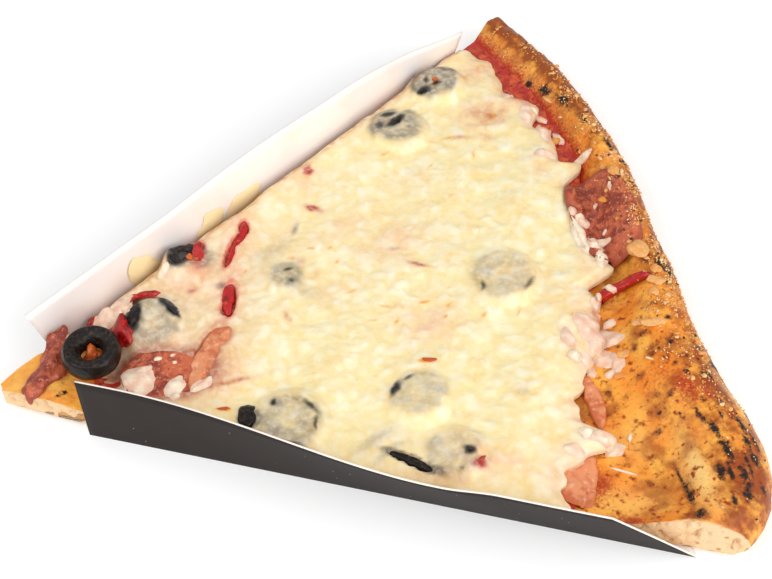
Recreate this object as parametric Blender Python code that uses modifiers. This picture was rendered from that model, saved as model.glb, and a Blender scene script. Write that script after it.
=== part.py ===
"""A slice of pizza in the folded card tray that it is served in.

The slice lies as it was cut, its point towards -X and its crust towards +X. Sizes are in millimetres and
angles in degrees. Plan positions are given from the apex, where the two cuts would meet, with X along
the middle of the slice. The front cut is on the -Y side and the back cut on the +Y side. Everything
hangs from one empty, which brings the middle of the underside to the world's origin at the end.
"""

import math
from dataclasses import dataclass

import bmesh
import bpy
from mathutils import Matrix, Vector
from mathutils.bvhtree import BVHTree

NAME = "pizza_slice"
MM = 0.001
GAP = 0.3
FRONT, BACK = -1, 1

# The cuts, and the outer edge of the crust: a nearly straight line with rounded corners
HALF_ANGLE = 30.4
TIP_RADIUS = 1.8
CRUST_LINE = 191.5
CRUST_SKEW = 4.0
SKEW_ANGLE = 8.0
CORNERS = {FRONT: (15.2, 8.0), BACK: (12.5, 3.7)}  # depth and sharpness
# Angle, spread and reach of each swell
CRUST_SWELLS = ((-22.5, 4.0, 2.0), (-5.0, 4.0, 1.5), (7.0, 6.0, 0.8), (26.0, 3.0, -0.9))

# The card tray. Runs are distances from the apex along a cut
CARD = 0.5
WALL = 24.0
FOLD_RUNS = {FRONT: (26.5, 188.2), BACK: (21.0, 188.0)}
EDGE_RUNS = {FRONT: (26.5, 165.2), BACK: (15.4, 190.0)}
CLEARANCES = {FRONT: (3.0, 1.8), BACK: (2.2, 2.8)}
BACK_WALL_END = 17.5
BACK_WALL_FALL = (135.0, 188.0)
# How a wall leans out: steps of degrees, first run and last run
LEANS = {
    FRONT: ((21.0, 36, 124), (-2.0, 124, 138)),
    BACK: ((0.5, 0, 10), (3.0, 60, 95), (-3.5, 100, 140), (-16.0, 165, 200)),
}
STATIONS = 18
WALL_ROWS = 3
BASE_ROWS = 4

# The dough
FOOT = CARD + GAP
FLOOR = 6.3
TIP_CURL = (2.3, 14.0, 25.0)  # height, and the radii between which it fades
TIP_LIFT = (1.9, 2.0, 22.0)
TIP_BULGE = (1.3, 11.0, 7.0)  # how far the back cut swells at the tip, at this radius, with this spread
CRUST_LIFT = (1.1, 30.0)
RIM_TOP = 15.0
RIM_BACK_DROP = (3.2, 18.0, 31.0)
RIM_WAVES = ((0.5, 4.1), (0.35, 1.7))
RIM_SIDE = 7.5
RIM_FOOT_INSET = 3.0
RIM_WIDTH_BACK = 16.0
RIM_WIDTH_FRONT = 32.0
RIM_WIDENS = (2.0, 17.0)
RIM_CREST = 0.38
DOUGH_ROWS = (20, 24, 2)
TIP_ROWS_END = 0.25
FLAT_ROWS_END = 0.4
RIM_ROW_CROWDING = 1.6

# The sauce and the cheese
LAYER_START = 25.5
SAUCE_START = 26.0
SAUCE_FOOT = FLOOR + GAP
SAUCE_THICKNESS = 0.7
SAUCE_SHOWS = (2.5, 5.0)
SAUCE_ROWS = (10, 20, 1)
CHEESE_FOOT = SAUCE_FOOT + SAUCE_THICKNESS + GAP
CHEESE_TOP = 11.4
CHEESE_SWELL = 0.35
CHEESE_TIP_DROP = (0.7, 30.0, 60.0)
CHEESE_START = 29.0
CHEESE_START_WAVE = 2.5
CHEESE_START_FRONT = 6.0
CHEESE_EDGE = 9.6
CHEESE_MARGIN_BACK = 20.5
CHEESE_MARGIN_FRONT = 48.0
CHEESE_MARGIN_GROWS = (1.0, 26.0)
CHEESE_MARGIN_WAVES = ((1.1, 0.9), (0.8, 2.3))
CHEESE_ROWS = (22, 18, 1)
CHEESE_BORDER = 0.12
DRIPS = ((56.0, 9.0), (79.0, 8.0), (96.0, 10.0), (134.0, 14.0))  # run and width over the back cut
DRIP_REACH = 1.5
DRIP_INSET = 0.5

# Olives
OLIVE_STEPS = 16
OLIVE_HOLE = 0.42
OLIVE_LIP = 0.09
OLIVE_HEIGHT = 3.4
OLIVE_SEAT = 8.9
POCKET_RISE = 4.0
TIP_OLIVE_PLACE = (26.8, -0.6)
TIP_OLIVE_RADIUS = 8.1
TIP_OLIVE_HEIGHT = 6.2
TIP_OLIVE_PROBES = (8.1, 6.0, 4.0)
TIP_OLIVE_PROBE_REACH = 0.4


@dataclass(frozen=True)
class SunkOlive:
    """An olive slice in a pocket of the cheese, tilted towards its heading.

    Share is how much of a ring it is.
    """

    name: str
    place: tuple
    radius: float
    tilt: float
    heading: float
    share: float = 1.0


@dataclass(frozen=True)
class Slab:
    """A thin piece draped over the food.

    Size is its half length, half width and thickness. Bend is the sideways bow of its middle line,
    roundness runs from an oblong at 0 to an oval at 1, curl lifts its long edges and lift its far end.
    """

    name: str
    finish: str
    place: tuple
    size: tuple
    turn: float
    rows: tuple
    bend: float = 0.0
    roundness: float = 1.0
    curl: float = 0.0
    lift: float = 0.0


OLIVES = (
    SunkOlive("olive_back_middle", (131.7, 61.8), 8.5, 8, 60),
    SunkOlive("olive_back_corner", (150.8, 78.2), 7.8, 30, 139),
    SunkOlive("olive_by_crust", (143.1, -5.1), 8.6, 5, 120),
    SunkOlive("olive_front_wall", (73.6, -34.6), 8.8, 7, 200),
    SunkOlive("olive_front_middle", (107.2, -38.1), 7.6, 10, 130),
    SunkOlive("olive_front_corner", (110.6, -57.0), 6.6, 12, 150),
    SunkOlive("olive_near_tip", (44.3, 6.9), 7.6, 16, 250),
    SunkOlive("olive_centre_bit", (83.0, 12.7), 4.8, 8, 80, share=0.6),
    SunkOlive("olive_back_bit", (57.5, 27.2), 6.0, 22, 30, share=0.62),
)

SLABS = (
    Slab("salami_by_crust", "salami", (179.0, 9.5), (18.0, 9.5, 1.5), 84, (10, 7)),
    Slab("salami_near_tip", "salami", (44.5, -10.5), (12.0, 9.0, 1.5), -18, (8, 6)),
    Slab("salami_strip_on_tip", "salami", (14.2, 2.6), (10.6, 3.6, 1.4), 57, (8, 3), roundness=0.7, lift=4),
    Slab("ham_near_tip", "ham", (56.6, -10.0), (10.4, 4.4, 1.3), 54, (8, 4), curl=0.8),
    Slab("ham_by_crust", "ham", (152.0, -48.8), (9.0, 2.4, 1.2), -95, (8, 3), bend=0.8),
    Slab("ham_front_corner", "ham", (142.0, -69.3), (8.6, 5.6, 1.2), -66, (7, 6)),
    Slab("pepper_by_crust", "pepper", (173.3, -18.4), (8.0, 1.9, 1.9), 4, (8, 3), bend=2, roundness=0.6),
    Slab("pepper_middle", "pepper", (66.8, 10.2), (6.0, 1.7, 1.8), 74, (6, 3), bend=0.6, roundness=0.6),
    Slab("pepper_back_curved", "pepper", (72.5, 28.6), (9.0, 1.5, 1.8), 62, (6, 3), bend=1.6, roundness=0.6),
    Slab("pepper_back_short", "pepper", (62.2, 27.2), (4.8, 1.6, 1.8), 80, (6, 3), bend=0.2, roundness=0.6),
    Slab("pepper_on_tip", "pepper", (34.3, 9.5), (7.5, 2.6, 2.0), -62, (6, 3), bend=1.2, roundness=0.6),
    Slab("pepper_by_olive", "pepper", (43.2, 16.8), (5.0, 2.4, 1.8), -15, (6, 3), bend=0.4, roundness=0.6),
    Slab("olive_front_slit", "olive", (99.2, -55.2), (5.6, 2.2, 1.8), -42, (6, 3)),
    Slab("olive_wall_bit", "olive", (61.8, -30.8), (2.6, 2.2, 1.8), -25, (4, 3)),
)

# Colour, roughness and subsurface weight
FINISHES = {
    "card": ((0.05, 0.045, 0.042), 0.55, 0.0),
    "dough": ((0.78, 0.42, 0.13), 0.6, 0.0),
    "sauce": ((0.45, 0.05, 0.02), 0.4, 0.0),
    "cheese": ((0.93, 0.8, 0.52), 0.4, 0.2),
    "olive": ((0.02, 0.018, 0.018), 0.25, 0.0),
    "salami": ((0.35, 0.08, 0.05), 0.4, 0.0),
    "ham": ((0.75, 0.33, 0.22), 0.4, 0.1),
    "pepper": ((0.55, 0.03, 0.02), 0.25, 0.0),
}


# Form


def smooth(low: float, high: float, value: float) -> float:
    """Rises gently from 0 at low to 1 at high."""
    share = min(1.0, max(0.0, (value - low) / (high - low)))
    return share * share * (3 - 2 * share)


def mix(first: float, last: float, share: float) -> float:
    return first + (last - first) * share


def bump(at: float, spread: float, value: float) -> float:
    """1 at its place, falling away over its spread."""
    return math.exp(-(((value - at) / spread) ** 2))


def polar(radius: float, angle: float) -> Vector:
    """The plan point at this distance from the apex and this angle from the middle line."""
    return Vector((math.cos(math.radians(angle)), math.sin(math.radians(angle)), 0)) * radius


def crust_reach(angle: float) -> float:
    """Distance from the apex to the outer edge of the crust."""
    depth, sharpness = CORNERS[BACK if angle > 0 else FRONT]
    line = CRUST_LINE + CRUST_SKEW * math.tanh(angle / SKEW_ANGLE)
    line -= depth * abs(angle / HALF_ANGLE) ** sharpness
    line += sum(reach * bump(at, spread, angle) for at, spread, reach in CRUST_SWELLS)
    return line / math.cos(math.radians(angle))


def rim_width(angle: float) -> float:
    """The crust widens from the back half to the front cut."""
    return mix(RIM_WIDTH_BACK, RIM_WIDTH_FRONT, smooth(*RIM_WIDENS, -angle))


def dough_top(radius: float, angle: float) -> float:
    """Height of the baked surface: a flat floor, a raised rim and a curled tip."""
    curl, near, far = TIP_CURL
    floor = FLOOR + curl * (1 - smooth(near, far, radius))
    drop, first, last = RIM_BACK_DROP
    crest = RIM_TOP - drop * smooth(first, last, angle)
    crest += sum(height * math.sin(angle / period) for height, period in RIM_WAVES)
    share = max(0.0, (crust_reach(angle) - radius) / rim_width(angle))
    if share < RIM_CREST:
        return mix(RIM_SIDE, crest, math.sqrt(1 - (1 - share / RIM_CREST) ** 2))
    fall = min(1.0, (share - RIM_CREST) / (1 - RIM_CREST))
    return mix(floor, crest, 0.5 + 0.5 * math.cos(math.pi * fall))


def dough_foot(radius: float, angle: float) -> float:
    """Height of the underside, which lifts a little at the tip and under the crust."""
    lift, near, far = TIP_LIFT
    crust, span = CRUST_LIFT
    foot = FOOT + lift * (1 - smooth(near, far, radius))
    return foot + crust * smooth(-span, 0, radius - crust_reach(angle))


def cheese_margin(angle: float) -> float:
    """How far the melted cheese stops short of the crust's outer edge."""
    margin = mix(CHEESE_MARGIN_BACK, CHEESE_MARGIN_FRONT, smooth(*CHEESE_MARGIN_GROWS, -angle))
    return margin + sum(size * math.sin(angle * rate) for size, rate in CHEESE_MARGIN_WAVES)


def sauce_margin(angle: float) -> float:
    """The sauce shows as a strip outside the cheese along the back half of the crust."""
    shows = mix(*SAUCE_SHOWS, smooth(-2, 8, angle))
    return max(rim_width(angle) + 2 * GAP, cheese_margin(angle) - shows)


def cheese_height(place: Vector) -> float:
    """Height of the melted cheese away from its borders, with slow swells."""
    swell = math.sin(place.x / 9) * math.cos(place.y / 8) + math.sin(place.x / 5.3 - place.y / 6.1)
    drop, near, far = CHEESE_TIP_DROP
    return CHEESE_TOP + CHEESE_SWELL * swell - drop * (1 - smooth(near, far, place.x))


# Building blocks


class Kitchen:
    """Holds the collections, the finishes, the empty that carries every piece, and the food made so far."""

    def __init__(self):
        for old in list(bpy.data.objects):
            bpy.data.objects.remove(old, do_unlink=True)
        self.parts = self.collection(NAME)
        self.cutters = self.collection(NAME + "_cutters")
        self.root = bpy.data.objects.new(NAME + "_root", None)
        self.parts.objects.link(self.root)
        self.finishes = {name: self.finish(name, *facts) for name, facts in FINISHES.items()}
        self.food = []

    @staticmethod
    def collection(name: str):
        made = bpy.data.collections.new(name)
        bpy.context.scene.collection.children.link(made)
        return made

    @staticmethod
    def finish(name: str, colour: tuple, roughness: float, subsurface: float):
        made = bpy.data.materials.new(name)
        made.use_nodes = True
        made.diffuse_color = (*colour, 1)
        shader = made.node_tree.nodes["Principled BSDF"]
        shader.inputs["Base Color"].default_value = (*colour, 1)
        shader.inputs["Roughness"].default_value = roughness
        shader.inputs["Metallic"].default_value = 0
        shader.inputs["Subsurface Weight"].default_value = subsurface
        return made

    def object(self, name: str, mesh: bmesh.types.BMesh, finish: str, collection):
        """Turns a bmesh in millimetres into a smooth-shaded object that hangs from the root."""
        bmesh.ops.scale(mesh, verts=mesh.verts, vec=(MM, MM, MM))
        bmesh.ops.recalc_face_normals(mesh, faces=mesh.faces)
        data = bpy.data.meshes.new(name)
        mesh.to_mesh(data)
        mesh.free()
        data.materials.append(self.finishes[finish])
        data.shade_smooth()
        data.set_sharp_from_angle(angle=math.radians(50))
        made = bpy.data.objects.new(name, data)
        made.parent = self.root
        collection.objects.link(made)
        return made

    def piece(self, name: str, mesh: bmesh.types.BMesh, finish: str):
        return self.object(name, mesh, finish, self.parts)

    def serve(self, name: str, mesh: bmesh.types.BMesh, finish: str):
        """A piece of food, which later toppings may lie on."""
        made = self.piece(name, mesh, finish)
        self.food.append(made)
        return made

    def cut(self, host, name: str, mesh: bmesh.types.BMesh, finish: str):
        """Cuts a closed shape out of a piece."""
        cutter = self.object(name, mesh, finish, self.cutters)
        cutter.hide_render = True
        cutter.display_type = "WIRE"
        modifier = host.modifiers.new(name, "BOOLEAN")
        modifier.operation = "DIFFERENCE"
        modifier.object = cutter

    def surfaces(self) -> list:
        """Search trees of the food made so far, for laying a topping on it."""
        bpy.context.view_layer.update()
        graph = bpy.context.evaluated_depsgraph_get()
        return [BVHTree.FromObject(made, graph) for made in self.food]

    def centre(self):
        """Moves the root so that the middle of the underside is at the world's origin."""
        bpy.context.view_layer.update()
        graph = bpy.context.evaluated_depsgraph_get()
        corners = []
        for made in self.root.children:
            if not made.hide_render:
                held = made.evaluated_get(graph)
                corners += [held.matrix_world @ Vector(corner) for corner in held.bound_box]
        for axis in (0, 1):
            ends = [corner[axis] for corner in corners]
            self.root.location[axis] = -(min(ends) + max(ends)) / 2


def warped_block(rows: tuple, shape) -> bmesh.types.BMesh:
    """A closed block cut into rows along each axis, its points moved by shape(u, v, w), each from 0 to 1."""
    mesh = bmesh.new()
    bmesh.ops.create_cube(mesh, size=1, matrix=Matrix.Translation((0.5, 0.5, 0.5)))
    for axis, count in enumerate(rows):
        along = []
        for edge in mesh.edges:
            run = edge.verts[1].co - edge.verts[0].co
            if abs(run[axis]) > 0.9 * run.length:
                along.append(edge)
        bmesh.ops.subdivide_edges(mesh, edges=along, cuts=count - 1, use_grid_fill=True)
    for point in mesh.verts:
        point.co = shape(*point.co)
    return mesh


# The tray


def outward(side: int) -> Vector:
    """The direction square to a cut, away from the slice."""
    return polar(1, side * (HALF_ANGLE + 90))


def fold_point(side: int, run: float) -> Vector:
    """A point on the fold line of a wall, at this distance from the apex."""
    clearance = mix(*CLEARANCES[side], run / FOLD_RUNS[side][1])
    return polar(run, side * HALF_ANGLE) + outward(side) * clearance


def edge_point(side: int, run: float) -> Vector:
    """A point on the top edge of a wall. The back wall grows lower towards the crust."""
    lean = math.radians(sum(degrees * smooth(first, last, run) for degrees, first, last in LEANS[side]))
    height = WALL if side == FRONT else mix(WALL, BACK_WALL_END, smooth(*BACK_WALL_FALL, run))
    return fold_point(side, run) + (outward(side) * math.sin(lean) + Vector((0, 0, math.cos(lean)))) * height


def wall_point(side: int, share: float, rise: float) -> Vector:
    """A point on a wall: share along it, and rise from the fold at 0 to the top edge at 1."""
    foot = fold_point(side, mix(*FOLD_RUNS[side], share))
    return foot.lerp(edge_point(side, mix(*EDGE_RUNS[side], share)), rise)


def card_tray(kitchen: Kitchen):
    """One sheet of card folded up along both cuts."""
    columns = 2 * WALL_ROWS + BASE_ROWS
    mesh = bmesh.new()
    bmesh.ops.create_grid(mesh, x_segments=STATIONS, y_segments=columns, size=0.5)
    for point in mesh.verts:
        share = point.co.x + 0.5
        column = round((point.co.y + 0.5) * columns) - WALL_ROWS
        if column < 0:
            point.co = wall_point(FRONT, share, -column / WALL_ROWS)
        elif column > BASE_ROWS:
            point.co = wall_point(BACK, share, (column - BASE_ROWS) / WALL_ROWS)
        else:
            point.co = wall_point(FRONT, share, 0).lerp(wall_point(BACK, share, 0), column / BASE_ROWS)
    made = kitchen.piece("card_tray", mesh, "card")
    card = made.modifiers.new("card", "SOLIDIFY")
    card.thickness = CARD * MM
    card.offset = -1
    card.use_even_offset = True


# The layers


def dough(kitchen: Kitchen):
    """The base and its crust in one piece, on rays from the apex, with more rows at the tip and the rim."""

    def shape(u: float, v: float, w: float) -> Vector:
        angle = mix(-HALF_ANGLE, HALF_ANGLE, v)
        reach = crust_reach(angle)
        foot = reach - rim_width(angle)
        if u <= TIP_ROWS_END:
            radius = mix(TIP_RADIUS, LAYER_START, u / TIP_ROWS_END)
        elif u <= FLAT_ROWS_END:
            radius = mix(LAYER_START, foot, (u - TIP_ROWS_END) / (FLAT_ROWS_END - TIP_ROWS_END))
        else:
            radius = reach - (reach - foot) * ((1 - u) / (1 - FLAT_ROWS_END)) ** RIM_ROW_CROWDING
        bulge, at, spread = TIP_BULGE
        place = polar(radius, angle)
        place += outward(BACK) * bulge * bump(at, spread, radius) * smooth(0.5, 1, v)
        place -= polar(RIM_FOOT_INSET * (1 - w) ** 2 * smooth(0.86, 1, u), angle)
        place.z = mix(dough_foot(radius, angle), dough_top(radius, angle), w)
        return place

    return kitchen.serve("dough", warped_block(DOUGH_ROWS, shape), "dough")


def tomato_sauce(kitchen: Kitchen):
    """A thin layer over the flat of the dough, wider than the cheese on the crust side."""

    def shape(u: float, v: float, w: float) -> Vector:
        angle = mix(-HALF_ANGLE, HALF_ANGLE, v)
        place = polar(mix(SAUCE_START, crust_reach(angle) - sauce_margin(angle), u), angle)
        place.z = SAUCE_FOOT + SAUCE_THICKNESS * w
        return place

    return kitchen.serve("tomato_sauce", warped_block(SAUCE_ROWS, shape), "sauce")


def melted_cheese(kitchen: Kitchen):
    """The melted layer, thick in the middle, thin and uneven at its borders, with drips at the back."""

    def shape(u: float, v: float, w: float) -> Vector:
        angle = mix(-HALF_ANGLE, HALF_ANGLE, v)
        start = CHEESE_START + CHEESE_START_WAVE * math.sin(angle / 3)
        start += CHEESE_START_FRONT * smooth(8, 30, -angle)
        radius = mix(start, crust_reach(angle) - cheese_margin(angle), u)
        drip = max(bump(run, width / 2, radius) for run, width in DRIPS)
        place = polar(radius, angle)
        place += outward(BACK) * smooth(0.88, 1, v) * (DRIP_REACH * drip * (1 - w / 2) - DRIP_INSET)
        sides = min(v, 1 - v) / CHEESE_BORDER + CHEESE_BORDER
        border = min(1, u / CHEESE_BORDER, 1.5 * (1 - u) / CHEESE_BORDER, sides)
        top = mix(CHEESE_EDGE, cheese_height(place), math.sin(border * math.pi / 2))
        place.z = mix(CHEESE_FOOT, top, w)
        return place

    return kitchen.serve("melted_cheese", warped_block(CHEESE_ROWS, shape), "cheese")


# The toppings


def olive_slice(radius: float, height: float, share: float = 1.0, grow: float = 0.0, rise: float = 0.0):
    """A ring of olive on the plane Z = 0, or a share of one with its ends closed.

    Its side is a barrel and its hole has rounded lips. Grow and rise make the pocket that it sits in.
    """
    lip = 0 if grow else OLIVE_LIP * radius
    inner, outer, top = radius * OLIVE_HOLE - grow, radius + grow, height + rise
    half_section = (
        (outer - lip, -grow),
        (outer, 0.3 * height),
        (outer, 0.7 * height),
        (outer - lip, top),
        (inner + lip, top),
        (inner, 0.8 * height),
        (inner, 0.2 * height),
        (inner + lip, -grow),
    )
    mesh = bmesh.new()
    rim = [mesh.verts.new((x, 0, z)) for x, z in half_section]
    whole = share >= 1
    if whole:
        start = [mesh.edges.new((rim[i - 1], rim[i])) for i in range(len(rim))]
    else:
        face = mesh.faces.new(rim)
        start = [face, *face.edges, *face.verts]
    widen = 0 if whole else 2 * grow / radius
    bmesh.ops.rotate(mesh, verts=mesh.verts, matrix=Matrix.Rotation(-widen / 2, 3, "Z"))
    bmesh.ops.spin(
        mesh,
        geom=start,
        cent=(0, 0, 0),
        axis=(0, 0, 1),
        angle=2 * math.pi * share + widen,
        steps=round(OLIVE_STEPS * share),
        use_merge=whole,
    )
    return mesh


def sunk_olive(kitchen: Kitchen, host, facts: SunkOlive):
    """Makes the olive slice and cuts its pocket."""
    lean = Matrix.Rotation(math.radians(facts.tilt), 4, polar(1, facts.heading + 90))
    spin = Matrix.Rotation(math.radians(facts.heading), 4, "Z")
    raised = OLIVE_SEAT + 0.5 * facts.radius * math.sin(math.radians(facts.tilt))
    seat = Matrix.Translation((*facts.place, raised)) @ lean @ spin
    ring = olive_slice(facts.radius, OLIVE_HEIGHT, facts.share)
    bmesh.ops.transform(ring, matrix=seat, verts=ring.verts)
    pocket = olive_slice(facts.radius, OLIVE_HEIGHT, facts.share, grow=GAP, rise=POCKET_RISE)
    bmesh.ops.transform(pocket, matrix=seat, verts=pocket.verts)
    kitchen.serve(facts.name, ring, "olive")
    kitchen.cut(host, facts.name + "_pocket", pocket, "olive")


def highest_under(trees: list, place: Vector, reach: float) -> float:
    """The highest surface within reach of a plan point, and never below the floor of the dough."""
    found = FLOOR
    spots = [place] + [place + polar(reach, turn) for turn in range(0, 360, 60)]
    for tree in trees:
        for spot in spots:
            hit = tree.ray_cast(Vector((spot.x, spot.y, 100)) * MM, Vector((0, 0, -1)))[0]
            if hit is not None:
                found = max(found, hit.z / MM)
    return found


def laid_slab(kitchen: Kitchen, facts: Slab):
    """Drapes a thin piece over all the food made before it."""
    trees = kitchen.surfaces()
    half_length, half_width, thickness = facts.size
    facing = Matrix.Rotation(math.radians(facts.turn), 3, "Z")
    reach = 2.2 * half_length / facts.rows[0]

    def shape(u: float, v: float, w: float) -> Vector:
        a, b = 2 * u - 1, 2 * v - 1
        along = a * math.sqrt(1 - facts.roundness * b * b / 2)
        across = half_width * b * math.sqrt(1 - facts.roundness * a * a / 2)
        across += facts.bend * (1 - along * along)
        place = Vector((*facts.place, 0)) + facing @ Vector((along * half_length, across, 0))
        body = thickness * (1 - 0.45 * max(abs(a), abs(b)) ** 4)
        raised = GAP + facts.curl * b * b + facts.lift * smooth(0.2, 1, a)
        place.z = highest_under(trees, place, reach) + raised + body * w
        return place

    kitchen.serve(facts.name, warped_block((*facts.rows, 1), shape), facts.finish)


def tip_olive(kitchen: Kitchen):
    """The whole slice of olive that stands on top of the food at the tip."""
    trees = kitchen.surfaces()
    place = Vector((*TIP_OLIVE_PLACE, 0))
    under = (place + polar(out, turn) for out in TIP_OLIVE_PROBES for turn in range(0, 360, 15))
    place.z = GAP + max(highest_under(trees, spot, TIP_OLIVE_PROBE_REACH) for spot in under)
    ring = olive_slice(TIP_OLIVE_RADIUS, TIP_OLIVE_HEIGHT)
    bmesh.ops.translate(ring, verts=ring.verts, vec=place)
    kitchen.serve("olive_on_tip", ring, "olive")


def main():
    kitchen = Kitchen()
    card_tray(kitchen)
    dough(kitchen)
    tomato_sauce(kitchen)
    cheese = melted_cheese(kitchen)
    for olive in OLIVES:
        sunk_olive(kitchen, cheese, olive)
    for slab in SLABS:
        laid_slab(kitchen, slab)
    tip_olive(kitchen)
    kitchen.centre()


main()
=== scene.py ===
"""The looks of a slice of pizza that lies in a folded card tray.

Lengths are in millimetres and angles in degrees until a piece is served. Plan places are given from the
apex, where the two cuts of the slice would meet, with X along the middle of the slice, the front cut on
the -Y side and the back cut on the +Y side.
"""

import logging
import math
from collections.abc import Callable, Iterable, Sequence
from dataclasses import dataclass, field
from enum import Enum

import bmesh
import bpy
import numpy as np
from mathutils import Matrix, Vector, noise
from mathutils.bvhtree import BVHTree


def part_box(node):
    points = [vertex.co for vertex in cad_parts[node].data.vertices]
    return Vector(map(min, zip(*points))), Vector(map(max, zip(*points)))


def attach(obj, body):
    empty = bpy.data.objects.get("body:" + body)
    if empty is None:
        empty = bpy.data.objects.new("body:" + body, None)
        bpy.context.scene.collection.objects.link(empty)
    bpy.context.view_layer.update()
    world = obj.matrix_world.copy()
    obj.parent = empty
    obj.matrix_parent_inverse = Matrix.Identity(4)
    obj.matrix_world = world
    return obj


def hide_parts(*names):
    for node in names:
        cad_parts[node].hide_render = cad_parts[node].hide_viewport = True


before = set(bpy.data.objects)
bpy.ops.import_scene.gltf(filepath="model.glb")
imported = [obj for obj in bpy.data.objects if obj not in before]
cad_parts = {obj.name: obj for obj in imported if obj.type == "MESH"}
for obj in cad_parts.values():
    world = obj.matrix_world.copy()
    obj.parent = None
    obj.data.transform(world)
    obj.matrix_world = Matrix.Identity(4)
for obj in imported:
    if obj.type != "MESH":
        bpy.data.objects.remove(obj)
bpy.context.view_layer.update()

BODY = "root"
MM = 0.001
LOG = logging.getLogger("pizza_slice")


class Side(Enum):
    """The two cuts of the slice, with the sign of their angle."""

    FRONT = -1
    BACK = 1


# Helpers


def tone(red: float, green: float, blue: float) -> tuple[float, float, float]:
    """Turns a display colour from 0 to 255 into the linear colour that shaders use."""
    shares = [channel / 255 for channel in (red, green, blue)]
    return tuple(s / 12.92 if s <= 0.04045 else ((s + 0.055) / 1.055) ** 2.4 for s in shares)


def smooth(low: float, high: float, value: np.ndarray) -> np.ndarray:
    """Rises gently from 0 at low to 1 at high."""
    share = np.clip((value - low) / (high - low), 0, 1)
    return share * share * (3 - 2 * share)


def mix(first: np.ndarray, last: np.ndarray, share: np.ndarray) -> np.ndarray:
    """Goes from first to last by a share from 0 to 1."""
    return first + (last - first) * share


def bump(at: float, spread: float, value: np.ndarray) -> np.ndarray:
    """1 at its place, falling away over its spread."""
    return np.exp(-(((value - at) / spread) ** 2))


def polar(radius: np.ndarray, angle: np.ndarray) -> np.ndarray:
    """Plan places at these distances from the apex and angles from the middle line, at height 0."""
    turn = np.radians(angle)
    return np.stack([radius * np.cos(turn), radius * np.sin(turn), 0 * radius], axis=-1)


def rough(places: np.ndarray, size: float, seed: float = 0.0) -> np.ndarray:
    """Smooth noise from about -1 to 1.

    Args:
        places: Rows of X, Y and Z.
        size: Distance between its lumps.
        seed: Any number. Another one gives other lumps.

    Returns:
        One value for each place.
    """
    return np.array([noise.noise(place) for place in (places / size + seed).tolist()])


@dataclass(frozen=True)
class Spot:
    """A soft oval patch on the food, by its middle, half length, half width, heading and strength."""

    x: float
    y: float
    length: float
    width: float
    heading: float = 0.0
    strength: float = 1.0

    def cover(self, x: np.ndarray, y: np.ndarray) -> np.ndarray:
        """How strongly each plan place is covered."""
        turn = math.radians(self.heading)
        along = (x - self.x) * math.cos(turn) + (y - self.y) * math.sin(turn)
        across = (y - self.y) * math.cos(turn) - (x - self.x) * math.sin(turn)
        return self.strength * np.exp(-((along / self.length) ** 2) - (across / self.width) ** 2)


def cover(spots: Iterable[Spot], x: np.ndarray, y: np.ndarray) -> np.ndarray:
    """The strongest cover that any of the spots gives at each plan place."""
    best = np.zeros_like(x)
    for spot in spots:
        best = np.maximum(best, spot.cover(x, y))
    return best


# The shape of the slice


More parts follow.
